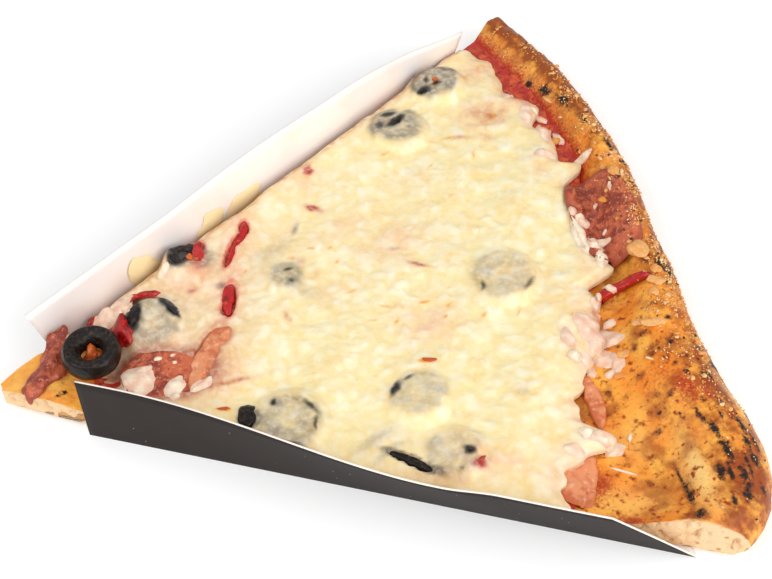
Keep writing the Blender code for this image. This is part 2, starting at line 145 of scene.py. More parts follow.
@dataclass(frozen=True)
class SliceForm:
    """The same form as the solids: where the crust ends and how high each layer stands."""

    half_angle: float = 30.4
    tip_radius: float = 1.8
    crust_line: float = 191.5
    crust_skew: float = 4.0
    skew_angle: float = 8.0
    front_corner: tuple = (15.2, 8.0)
    back_corner: tuple = (12.5, 3.7)
    swells: tuple = ((-22.5, 4.0, 2.0), (-5.0, 4.0, 1.5), (7.0, 6.0, 0.8), (26.0, 3.0, -0.9))
    foot: float = 0.8
    floor: float = 6.3
    tip_curl: tuple = (2.3, 14.0, 25.0)
    tip_lift: tuple = (1.9, 2.0, 22.0)
    tip_bulge: tuple = (1.3, 11.0, 7.0)
    crust_lift: tuple = (1.1, 30.0)
    rim_top: float = 15.0
    rim_back_drop: tuple = (3.2, 18.0, 31.0)
    rim_waves: tuple = ((0.5, 4.1), (0.35, 1.7))
    rim_side: float = 7.5
    rim_foot_inset: float = 3.0
    rim_width_back: float = 16.0
    rim_width_front: float = 32.0
    rim_crest: float = 0.38
    sauce_foot: float = 6.6
    sauce_thickness: float = 0.7
    cheese_foot: float = 7.6
    cheese_top: float = 11.4

    def outward(self, side: Side) -> np.ndarray:
        """The direction square to a cut, away from the slice."""
        return polar(np.array(1.0), np.array(side.value * (self.half_angle + 90)))

    def crust_reach(self, angle: np.ndarray) -> np.ndarray:
        """Distance from the apex to the outer edge of the crust."""
        depth = np.where(angle > 0, self.back_corner[0], self.front_corner[0])
        sharpness = np.where(angle > 0, self.back_corner[1], self.front_corner[1])
        line = self.crust_line + self.crust_skew * np.tanh(angle / self.skew_angle)
        line = line - depth * np.abs(angle / self.half_angle) ** sharpness
        for at, spread, reach in self.swells:
            line = line + reach * bump(at, spread, angle)
        return line / np.cos(np.radians(angle))

    def rim_width(self, angle: np.ndarray) -> np.ndarray:
        """The crust widens from the back half to the front cut."""
        return mix(self.rim_width_back, self.rim_width_front, smooth(2, 17, -angle))

    def rim_share(self, radius: np.ndarray, angle: np.ndarray) -> np.ndarray:
        """0 at the outer edge of the crust and 1 where its slope meets the floor."""
        return np.clip((self.crust_reach(angle) - radius) / self.rim_width(angle), 0, 1)

    def dough_top(self, radius: np.ndarray, angle: np.ndarray) -> np.ndarray:
        """Height of the baked surface."""
        curl, near, far = self.tip_curl
        floor = self.floor + curl * (1 - smooth(near, far, radius))
        drop, first, last = self.rim_back_drop
        crest = self.rim_top - drop * smooth(first, last, angle)
        for height, period in self.rim_waves:
            crest = crest + height * np.sin(angle / period)
        share = self.rim_share(radius, angle)
        inner = np.minimum(share, self.rim_crest)
        outside = mix(self.rim_side, crest, np.sqrt(1 - (1 - inner / self.rim_crest) ** 2))
        fall = np.clip((share - self.rim_crest) / (1 - self.rim_crest), 0, 1)
        inside = mix(floor, crest, 0.5 + 0.5 * np.cos(np.pi * fall))
        return np.where(share < self.rim_crest, outside, inside)

    def dough_foot(self, radius: np.ndarray, angle: np.ndarray) -> np.ndarray:
        """Height of the underside."""
        lift, near, far = self.tip_lift
        crust, span = self.crust_lift
        foot = self.foot + lift * (1 - smooth(near, far, radius))
        return foot + crust * smooth(-span, 0, radius - self.crust_reach(angle))

    def cheese_margin(self, angle: np.ndarray) -> np.ndarray:
        """How far the melted cheese stops short of the crust's outer edge."""
        margin = mix(20.5, 48.0, smooth(1, 26, -angle))
        return margin + 1.1 * np.sin(angle * 0.9) + 0.8 * np.sin(angle * 2.3)

    def sauce_margin(self, angle: np.ndarray) -> np.ndarray:
        """How far the sauce stops short of the crust's outer edge."""
        shows = mix(2.5, 5.0, smooth(-2, 8, angle))
        return np.maximum(self.rim_width(angle) + 0.6, self.cheese_margin(angle) - shows)

    def cheese_height(self, x: np.ndarray, y: np.ndarray) -> np.ndarray:
        """Height of the melted cheese away from its borders."""
        swell = np.sin(x / 9) * np.cos(y / 8) + np.sin(x / 5.3 - y / 6.1)
        return self.cheese_top + 0.35 * swell - 0.7 * (1 - smooth(30, 60, x))


FORM = SliceForm()


# Building blocks


def block(rows_u: int, rows_v: int, rows_w: int, lined: bool = False) -> bmesh.types.BMesh:
    """A closed unit block with a fine top, sides of a few rows, and one face below.

    Args:
        rows_u: Rows of the top along X.
        rows_v: Rows of the top along Y.
        rows_w: Rows of the sides.
        lined: Whether its underside is as fine as its top, for a block that will be bent.

    Returns:
        The block, from 0 to 1 along each axis.
    """
    mesh = bmesh.new()
    bmesh.ops.create_grid(mesh, x_segments=rows_u, y_segments=rows_v, size=0.5)
    bmesh.ops.translate(mesh, verts=mesh.verts, vec=(0.5, 0.5, 1))
    edge = [side for side in mesh.edges if side.is_boundary]
    for _ in range(rows_w):
        grown = bmesh.ops.extrude_edge_only(mesh, edges=edge)["geom"]
        lowered = [part for part in grown if isinstance(part, bmesh.types.BMVert)]
        bmesh.ops.translate(mesh, verts=lowered, vec=(0, 0, -1 / rows_w))
        edge = [part for part in grown if isinstance(part, bmesh.types.BMEdge) and part.is_boundary]
    if lined:
        below = bmesh.ops.create_grid(mesh, x_segments=rows_u, y_segments=rows_v, size=0.5)["verts"]
        bmesh.ops.translate(mesh, verts=below, vec=(0.5, 0.5, 0))
        bmesh.ops.remove_doubles(mesh, verts=mesh.verts, dist=0.0001)
    else:
        bmesh.ops.holes_fill(mesh, edges=edge, sides=0)
    bmesh.ops.recalc_face_normals(mesh, faces=mesh.faces)
    return mesh


def places_of(mesh: bmesh.types.BMesh) -> np.ndarray:
    """The places of a mesh's points, as rows."""
    return np.array([tuple(point.co) for point in mesh.verts])


def move_to(mesh: bmesh.types.BMesh, places: np.ndarray) -> None:
    """Moves each point of a mesh to its row."""
    for point, place in zip(mesh.verts, places.tolist()):
        point.co = place


def join(mesh: bmesh.types.BMesh, added: bmesh.types.BMesh) -> int:
    """Adds one bmesh to another.

    Returns:
        How many points were added.
    """
    data = bpy.data.meshes.new("joined")
    added.to_mesh(data)
    count = len(added.verts)
    added.free()
    mesh.from_mesh(data)
    bpy.data.meshes.remove(data)
    return count


@dataclass
class Kitchen:
    """Serves the finished pieces, and knows the surface that the next one lies on."""

    apex: Vector
    grounds: list = field(default_factory=list)
    served: int = 0

    def serve(
        self,
        name: str,
        mesh: bmesh.types.BMesh,
        finishes: Sequence[bpy.types.Material],
        slot: str,
        nodes: Sequence[str] = (),
        paint: dict[str, np.ndarray] | None = None,
        ground: bool = True,
    ) -> bpy.types.Object:
        """Turns a bmesh into a finished piece in the frame.

        Args:
            name: The piece's name.
            mesh: Its shape, in millimetres from the apex. It is freed.
            finishes: Its materials, in the order of the faces' material numbers.
            slot: The record's slot for its finish. It is not used.
            nodes: The solids that it stands for.
            paint: Point attributes, as one value or one linear colour for each point.
            ground: Whether later pieces may lie on it.

        Returns:
            The piece.
        """
        if ground:
            self.grounds.append(BVHTree.FromBMesh(mesh))
        bmesh.ops.translate(mesh, verts=mesh.verts, vec=self.apex)
        bmesh.ops.scale(mesh, verts=mesh.verts, vec=(MM, MM, MM))
        data = bpy.data.meshes.new(name)
        mesh.to_mesh(data)
        mesh.free()
        data.shade_smooth()
        data.set_sharp_from_angle(angle=math.radians(60))
        for label, values in (paint or {}).items():
            coloured = values.ndim == 2
            layer = data.attributes.new(label, "FLOAT_COLOR" if coloured else "FLOAT", "POINT")
            if coloured:
                values = np.hstack([values, np.ones((len(values), 1))])
            layer.data.foreach_set("color" if coloured else "value", values.astype(np.float32).ravel())
        for finish in finishes:
            data.materials.append(finish)
        piece = bpy.data.objects.new(name, data)
        bpy.context.scene.collection.objects.link(piece)
        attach(piece, BODY)
        if nodes:
            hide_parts(*nodes)
        self.served += 1
        LOG.info("%s: %d faces", name, len(data.polygons))
        return piece

    def heights(self, x: np.ndarray, y: np.ndarray, reach: float = 0.0) -> np.ndarray:
        """The highest surface at each plan place, or within reach of it."""
        seen = {}
        found = np.zeros_like(x)
        for number, spot in enumerate(zip(np.round(x, 3).tolist(), np.round(y, 3).tolist())):
            if spot not in seen:
                seen[spot] = self.height(*spot, reach=reach)
            found[number] = seen[spot]
        return found

    def height(self, x: float, y: float, reach: float = 0.0) -> float:
        """The highest surface at a plan place, or within reach of it."""
        spots = [(x, y)]
        if reach:
            for turn in range(0, 360, 60):
                step = math.radians(turn)
                spots.append((x + reach * math.cos(step), y + reach * math.sin(step)))
        found = FORM.floor
        for tree in self.grounds:
            for spot in spots:
                hit = tree.ray_cast(Vector((*spot, 60)), Vector((0, 0, -1)))[0]
                if hit is not None:
                    found = max(found, hit.z)
        return found


class Mixture:
    """Builds one procedural material, node by node, on Object coordinates."""

    def __init__(self, name: str) -> None:
        """Starts a material of this name."""
        self.material = bpy.data.materials.new(name)
        self.material.use_nodes = True
        self.nodes = self.material.node_tree.nodes
        self.links = self.material.node_tree.links
        self.shader = self.nodes["Principled BSDF"]
        self.places = self.nodes.new("ShaderNodeTexCoord").outputs["Object"]

    def put(self, target: bpy.types.NodeSocket, value: object) -> None:
        """Links a socket, or sets a plain value, number or colour."""
        if isinstance(value, bpy.types.NodeSocket):
            self.links.new(value, target)
        elif isinstance(value, tuple) and len(value) == 3 and target.type == "RGBA":
            target.default_value = (*value, 1)
        else:
            target.default_value = value

    def attribute(self, name: str, output: str = "Fac") -> bpy.types.NodeSocket:
        """The value, or with output Color the colour, of a point attribute."""
        node = self.nodes.new("ShaderNodeAttribute")
        node.attribute_name = name
        return node.outputs[output]

    def noise(self, size: float, detail: float = 3, shift: float = 0, stretch: tuple = (1, 1, 1)):
        """Cloudy noise from 0 to 1, with lumps of this size in millimetres."""
        mapping = self.nodes.new("ShaderNodeMapping")
        mapping.inputs["Location"].default_value = (shift, shift, shift)
        mapping.inputs["Scale"].default_value = stretch
        self.put(mapping.inputs["Vector"], self.places)
        node = self.nodes.new("ShaderNodeTexNoise")
        self.put(node.inputs["Vector"], mapping.outputs[0])
        self.put(node.inputs["Scale"], 1 / (size * MM))
        self.put(node.inputs["Detail"], detail)
        return node.outputs["Fac"]

    def cells(self, size: float, output: str = "Distance", feature: str = "F1"):
        """Distance to the nearest of many scattered points, or the colour of its cell."""
        node = self.nodes.new("ShaderNodeTexVoronoi")
        node.feature = feature
        self.put(node.inputs["Vector"], self.places)
        self.put(node.inputs["Scale"], 1 / (size * MM))
        return node.outputs[output]

    def span(self, value, low: float, high: float, first: float = 0, last: float = 1):
        """Goes gently from first to last while a value goes from low to high."""
        node = self.nodes.new("ShaderNodeMapRange")
        node.interpolation_type = "SMOOTHSTEP"
        for name, number in zip(("Value", "From Min", "From Max", "To Min", "To Max"), (value, low, high, first, last)):
            self.put(node.inputs[name], number)
        return node.outputs["Result"]

    def math(self, operation: str, first, second):
        """Combines two values."""
        node = self.nodes.new("ShaderNodeMath")
        node.operation = operation
        self.put(node.inputs[0], first)
        self.put(node.inputs[1], second)
        return node.outputs[0]

    def blend(self, share, first, second):
        """Goes from the first colour to the second by a share."""
        node = self.nodes.new("ShaderNodeMix")
        node.data_type = "RGBA"
        self.put(node.inputs["Factor"], share)
        self.put(node.inputs[6], first)
        self.put(node.inputs[7], second)
        return node.outputs[2]

    def relief(self, height, depth: float, below=None):
        """Bends the shading by a height from 0 to 1, for relief of this depth in millimetres."""
        node = self.nodes.new("ShaderNodeBump")
        self.put(node.inputs["Height"], height)
        self.put(node.inputs["Distance"], depth * MM)
        if below is not None:
            self.put(node.inputs["Normal"], below)
        return node.outputs["Normal"]

    def finish(self, **inputs: object) -> bpy.types.Material:
        """Sets the shader's sockets, named with _ for a space.

        Returns:
            The finished material.
        """
        for name, value in inputs.items():
            self.put(self.shader.inputs[name.replace("_", " ")], value)
        return self.material


# Finishes


@dataclass(frozen=True)
class CardFinish:
    """Black outside, white inside, and a white core where the card is cut."""

    black: tuple = tone(30, 23, 20)
    grey: tuple = tone(43, 34, 30)
    dust: tuple = tone(190, 182, 176)
    white: tuple = tone(253, 248, 245)
    grease: tuple = tone(250, 232, 218)

    def outside(self) -> bpy.types.Material:
        """Matt black with a faint mottle and a few grains of dust."""
        mixture = Mixture("card_black")
        colour = mixture.blend(mixture.noise(9, 4), self.black, self.grey)
        dots = mixture.span(mixture.cells(2.6), 0.07, 0.045)
        kept = mixture.span(mixture.noise(6, 2, 3), 0.5, 0.6)
        colour = mixture.blend(mixture.math("MULTIPLY", dots, kept), colour, self.dust)
        fibres = mixture.relief(mixture.noise(0.35, 2), 0.03)
        return mixture.finish(Base_Color=colour, Roughness=0.7, Specular_IOR_Level=0.3, Normal=fibres)

    def inside(self) -> bpy.types.Material:
        """White card with a little grease drawn into it."""
        mixture = Mixture("card_white")
        stain = mixture.span(mixture.noise(16, 3), 0.5, 0.75, 0, 0.5)
        colour = mixture.blend(stain, self.white, self.grease)
        fibres = mixture.relief(mixture.noise(0.5, 2), 0.03)
        return mixture.finish(Base_Color=colour, Roughness=0.5, Normal=fibres)

    def edge(self) -> bpy.types.Material:
        """The pale core of the card."""
        mixture = Mixture("card_core")
        colour = mixture.blend(mixture.noise(0.8), self.white, self.grease)
        return mixture.finish(Base_Color=colour, Roughness=0.8)


@dataclass(frozen=True)
class BakedFinish:
    """Oiled, browned and charred crust, with an open crumb where it is cut."""

    orange: tuple = tone(242, 140, 40)
    golden: tuple = tone(254, 184, 76)
    brown: tuple = tone(152, 74, 20)
    rust: tuple = tone(156, 64, 14)
    sauce: tuple = tone(178, 44, 20)
    pale: tuple = tone(252, 208, 126)
    char: tuple = tone(34, 24, 20)
    crumb: tuple = tone(236, 200, 156)
    pore: tuple = tone(190, 142, 88)
    flour: tuple = tone(240, 190, 130)

    def material(self) -> bpy.types.Material:
        """Layers the colours by the attributes painted on the dough."""
        mixture = Mixture("baked_crust")
        broad, mid, fine = mixture.noise(8, 3), mixture.noise(1.7, 4, 1), mixture.noise(0.7, 3, 2)
        colour = mixture.blend(mixture.span(broad, 0.28, 0.72), self.orange, self.golden)
        cloud = mixture.math("MULTIPLY", mixture.math("SUBTRACT", mixture.noise(4, 5, 6), 0.5), 2.2)
        browning = mixture.math("ADD", mixture.attribute("brown"), mixture.math("SUBTRACT", mid, 0.5))
        browning = mixture.math("ADD", browning, cloud)
        colour = mixture.blend(mixture.span(browning, 0.08, 1.1), colour, self.brown)
        # Pale patches, and on the back crust a painted highlight, both from the pale attribute.
        colour = mixture.blend(mixture.attribute("pale"), colour, self.pale)
        specks = mixture.span(mixture.noise(2.0, 2, 5), 0.54, 0.76, 0, 0.9)
        finer = mixture.span(mixture.noise(1.1, 2, 8), 0.58, 0.78, 0, 0.6)
        specks = mixture.math("MULTIPLY", mixture.math("MAXIMUM", specks, finer), mixture.attribute("speck"))
        colour = mixture.blend(specks, colour, self.rust)
        ruddy = mixture.math("MULTIPLY", mixture.span(mixture.noise(7, 5, 12), 0.48, 0.68, 0, 0.55), mixture.attribute("speck"))
        colour = mixture.blend(ruddy, colour, self.rust)
        stain = mixture.math("ADD", mixture.attribute("red"), mixture.math("SUBTRACT", fine, 0.5))
        colour = mixture.blend(mixture.span(stain, 0.15, 0.85), colour, self.sauce)
        ragged = mixture.math("SUBTRACT", mixture.math("ADD", mid, fine), 1)
        near = mixture.span(mixture.attribute("char"), 0, 0.3, 0.3, 1.6)
        burn = mixture.math("ADD", mixture.attribute("char"), mixture.math("MULTIPLY", ragged, near))
        colour = mixture.blend(mixture.span(burn, 0.2, 0.9), colour, self.char)
        pores = mixture.span(mixture.cells(1.9), 0.15, 0.5, 1, 0)
        pores = mixture.math("MULTIPLY", pores, mixture.span(mixture.noise(2.4, 2, 7), 0.45, 0.65))
        inner = mixture.blend(pores, self.crumb, self.pore)
        colour = mixture.blend(mixture.attribute("crumb"), colour, inner)
        dusting = mixture.math("MULTIPLY", mixture.attribute("flour"), mixture.span(mid, 0.3, 0.6))
        colour = mixture.blend(dusting, colour, self.flour)
        gloss = mixture.span(mixture.attribute("crumb"), 0, 1, 0.42, 0.9)
        normal = mixture.relief(mid, 0.3, mixture.relief(fine, 0.16))
        return mixture.finish(Base_Color=colour, Roughness=gloss, Specular_IOR_Level=0.3, Normal=normal)


@dataclass(frozen=True)
class SauceFinish:
    """Cooked tomato, wet and lumpy, with darker and more orange places."""

    red: tuple = tone(186, 46, 32)
    dark: tuple = tone(136, 26, 22)
    orange: tuple = tone(216, 94, 46)

    def material(self) -> bpy.types.Material:
        """Mixes the reds by noise."""
        mixture = Mixture("cooked_tomato")
        colour = mixture.blend(mixture.span(mixture.noise(3, 3), 0.4, 0.65), self.red, self.orange)
        colour = mixture.blend(mixture.span(mixture.noise(1.4, 3, 2), 0.5, 0.7), colour, self.dark)
        normal = mixture.relief(mixture.noise(1.1, 3), 0.3)
        return mixture.finish(Base_Color=colour, Roughness=0.28, Normal=normal)


@dataclass(frozen=True)
class CheeseFinish:
    """Melted cheese that light enters, tinted by what lies under it."""

    white: tuple = tone(254, 243, 216)
    fresh: tuple = tone(236, 192, 166)
    shred: tuple = tone(253, 238, 214)

    def melted(self) -> bpy.types.Material:
        """The colour painted on the cheese, with a fine milky mottle."""
        mixture = Mixture("melted_cheese")
        milky = mixture.span(mixture.noise(1.7, 5), 0.38, 0.72, 0, 0.3)
        milky = mixture.math("MULTIPLY", milky, mixture.attribute("milky"))
        colour = mixture.blend(milky, mixture.attribute("colour", "Color"), self.white)
        normal = mixture.relief(mixture.noise(2.0, 3), 0.26, mixture.relief(mixture.noise(0.6, 2), 0.05))
        return mixture.finish(
            Base_Color=colour,
            Roughness=0.3,
            Normal=normal,
            Subsurface_Weight=0.45,
            Subsurface_Radius=(1.0, 0.7, 0.4),
            Subsurface_Scale=0.0024,
        )

    def shreds(self) -> bpy.types.Material:
        """Half melted shreds, from pink to white by their own tint."""
        mixture = Mixture("cheese_shreds")
        mottle = mixture.math("MULTIPLY", mixture.math("SUBTRACT", mixture.noise(2.4, 4), 0.45), 2.4)
        share = mixture.math("ADD", mixture.attribute("tint"), mottle)
        colour = mixture.blend(mixture.span(share, -0.2, 1.1), self.fresh, self.shred)
        normal = mixture.relief(mixture.noise(1.0, 3), 0.12)
        return mixture.finish(
            Base_Color=colour,
            Roughness=0.34,
            Normal=normal,
            Subsurface_Weight=0.3,
            Subsurface_Radius=(1.0, 0.6, 0.45),
            Subsurface_Scale=0.0006,
        )


@dataclass(frozen=True)
class OliveFinish:
    """Black skin with a soft gloss, and brown flesh where it is cut."""

    skin: tuple = tone(15, 9, 6)
    bloom: tuple = tone(27, 17, 13)
    flesh: tuple = tone(68, 48, 34)
    dark_flesh: tuple = tone(14, 10, 9)

    def material(self) -> bpy.types.Material:
        """Skin or flesh by the attribute of the cut faces."""
        mixture = Mixture("black_olive")
        skin = mixture.blend(mixture.span(mixture.noise(2.5, 3), 0.4, 0.7), self.skin, self.bloom)
        flesh = mixture.blend(mixture.span(mixture.noise(1.0, 4, 2), 0.45, 0.75), self.dark_flesh, self.flesh)
        colour = mixture.blend(mixture.attribute("flesh"), skin, flesh)
        gloss = mixture.span(mixture.attribute("flesh"), 0, 1, 0.27, 0.5)
        normal = mixture.relief(mixture.noise(0.9, 3), 0.16)
        return mixture.finish(Base_Color=colour, Roughness=gloss, Specular_IOR_Level=0.3, Normal=normal)


@dataclass(frozen=True)
class MeatFinish:
    """Cured or cooked meat with marbling and specks.

    Light and dark are its two main colours, fat its marbling and rim the paler line along its edge.
    """

    name: str
    dark: tuple
    light: tuple
    fat: tuple
    rim: tuple
    fat_size: float
    fat_share: float
    subsurface: float

    def material(self) -> bpy.types.Material:
        """Marbles the meat by noise, and lightens its rim."""
        mixture = Mixture(self.name)
        mottle = mixture.math("ADD", mixture.noise(2.2, 5), mixture.math("SUBTRACT", mixture.noise(9, 2, 7), 0.5))
        colour = mixture.blend(mixture.span(mottle, 0.35, 0.65), self.dark, self.light)
        marbling = mixture.span(mixture.noise(self.fat_size, 3, 4), 0.55, 0.68, 0, self.fat_share)
        colour = mixture.blend(marbling, colour, self.fat)
        pepper = mixture.span(mixture.cells(2.3), 0.13, 0.08, 0, 0.8)
        colour = mixture.blend(mixture.math("MULTIPLY", pepper, mixture.span(mixture.noise(3, 1, 9), 0.5, 0.55)), colour, tone(60, 30, 28))
        colour = mixture.blend(mixture.attribute("rim"), colour, self.rim)
        normal = mixture.relief(mixture.noise(1.2, 4), 0.25)
        return mixture.finish(
            Base_Color=colour,
            Roughness=0.4,
            Normal=normal,
            Subsurface_Weight=self.subsurface,
            Subsurface_Radius=(1.0, 0.35, 0.25),
            Subsurface_Scale=0.001,
        )


SALAMI = MeatFinish(
    "salami", tone(142, 50, 32), tone(204, 102, 64), tone(220, 150, 118), tone(156, 62, 38), 0.9, 0.6, 0.1
)
HAM = MeatFinish(
    "cooked_ham", tone(204, 108, 64), tone(230, 150, 104), tone(246, 196, 160), tone(208, 112, 54), 1.6, 0.5, 0.25
)


@dataclass(frozen=True)
class PepperFinish:
    """Soft cooked red pepper with a glossy skin."""

    red: tuple = tone(190, 24, 24)
    deep: tuple = tone(128, 10, 16)
    flesh: tuple = tone(222, 92, 54)

    def material(self) -> bpy.types.Material:
        """Reds mixed by noise."""
        mixture = Mixture("red_pepper")
        colour = mixture.blend(mixture.span(mixture.noise(2.4, 3), 0.4, 0.7), self.red, self.deep)
        colour = mixture.blend(mixture.span(mixture.noise(1.2, 2, 4), 0.6, 0.75, 0, 0.7), colour, self.flesh)
        normal = mixture.relief(mixture.noise(1.4, 2), 0.15)
        return mixture.finish(Base_Color=colour, Roughness=0.22, Normal=normal, Subsurface_Weight=0.1,
                              Subsurface_Scale=0.001)


@dataclass(frozen=True)
class GrainFinish:
    """Grains and flecks whose own tint goes from the first colour to the second."""

    name: str
    first: tuple
    second: tuple
    roughness: float = 0.6

    def material(self) -> bpy.types.Material:
        """Mixes the two colours by tint, with a little noise."""
        mixture = Mixture(self.name)
        share = mixture.math("ADD", mixture.attribute("tint"), mixture.math("SUBTRACT", mixture.noise(0.6), 0.5))
        colour = mixture.blend(share, self.first, self.second)
        normal = mixture.relief(mixture.noise(0.4, 2), 0.06)
        return mixture.finish(Base_Color=colour, Roughness=self.roughness, Normal=normal)


GRAINS = GrainFinish("toasted_grains", tone(246, 218, 168), tone(226, 146, 52), 0.5)
FLECKS = GrainFinish("pepper_flecks", tone(58, 34, 24), tone(112, 58, 28), 0.5)
SMEARS = GrainFinish("smeared_cheese", tone(253, 226, 160), tone(255, 240, 196), 0.35)
ROASTED = GrainFinish("roasted_bits", tone(206, 98, 34), tone(168, 50, 24), 0.3)


# The tray


@dataclass
class CardTray:
    """One sheet of card, folded up along both cuts. Runs are distances from the apex along a cut."""

    card: float = 0.5
    wall: float = 24.0
    back_wall_end: float = 17.5
    stations: int = 90
    wall_rows: int = 8
    base_rows: int = 6
    ripple: float = 0.12

    def fold_point(self, side: Side, run: np.ndarray) -> np.ndarray:
        """A point on the fold line of a wall."""
        near, far, end = (3.0, 1.8, 188.2) if side is Side.FRONT else (2.2, 2.8, 188.0)
        clearance = mix(near, far, run / end)
        place = polar(run, side.value * FORM.half_angle + 0 * run)
        return place + FORM.outward(side) * clearance[:, None]

    def lean(self, side: Side, run: np.ndarray) -> np.ndarray:
        """How many degrees a wall leans out."""
        if side is Side.FRONT:
            return 21 * smooth(36, 124, run) - 2 * smooth(124, 138, run)
        steps = ((0.5, 0, 10), (3.0, 60, 95), (-3.5, 100, 140), (-16.0, 165, 200))
        return sum(degrees * smooth(first, last, run) for degrees, first, last in steps)

    def wall_point(self, side: Side, share: np.ndarray, rise: np.ndarray) -> np.ndarray:
        """Points on a wall, by their share along it and their rise from fold to top edge."""
        folds, edges = ((26.5, 188.2), (26.5, 165.2)) if side is Side.FRONT else ((21.0, 188.0), (15.4, 190.0))
        foot = self.fold_point(side, mix(*folds, share))
        run = mix(*edges, share)
        lean = np.radians(self.lean(side, run))[:, None]
        height = np.full_like(run, self.wall)
        if side is Side.BACK:
            height = mix(self.wall, self.back_wall_end, smooth(135, 188, run))
        up = FORM.outward(side) * np.sin(lean) + np.array((0, 0, 1)) * np.cos(lean)
        return mix(foot, self.fold_point(side, run) + up * height[:, None], rise[:, None])

    def build(self, kitchen: Kitchen) -> None:
        """Folds the sheet, gives it its thickness, and dresses its two faces and its cut edge."""
        columns = 2 * self.wall_rows + self.base_rows
        mesh = bmesh.new()
        bmesh.ops.create_grid(mesh, x_segments=self.stations, y_segments=columns, size=0.5)
        unit = places_of(mesh)
        share = unit[:, 0] + 0.5
        column = np.round((unit[:, 1] + 0.5) * columns) - self.wall_rows
        zero = np.zeros_like(share)
        front = self.wall_point(Side.FRONT, share, np.clip(-column / self.wall_rows, 0, 1))
        back = self.wall_point(Side.BACK, share, np.clip((column - self.base_rows) / self.wall_rows, 0, 1))
        across = np.clip(column / self.base_rows, 0, 1)[:, None]
        base = mix(self.wall_point(Side.FRONT, share, zero), self.wall_point(Side.BACK, share, zero), across)
        places = np.where((column < 0)[:, None], front, np.where((column > self.base_rows)[:, None], back, base))
        raised = smooth(1, 6, places[:, 2])
        places[:, 1] += self.ripple * raised * rough(places, 25)
        move_to(mesh, places)
        bmesh.ops.reverse_faces(mesh, faces=mesh.faces)
        finish = CardFinish()
        finishes = (finish.outside(), finish.inside(), finish.edge())
        tray = kitchen.serve("folded_card_tray", mesh, finishes, "card", ["card_tray"], ground=False)
        card = tray.modifiers.new("card", "SOLIDIFY")
        card.thickness = self.card * MM
        card.offset = -1
        card.use_even_offset = True
        card.material_offset = 1
        card.material_offset_rim = 2


# The layers


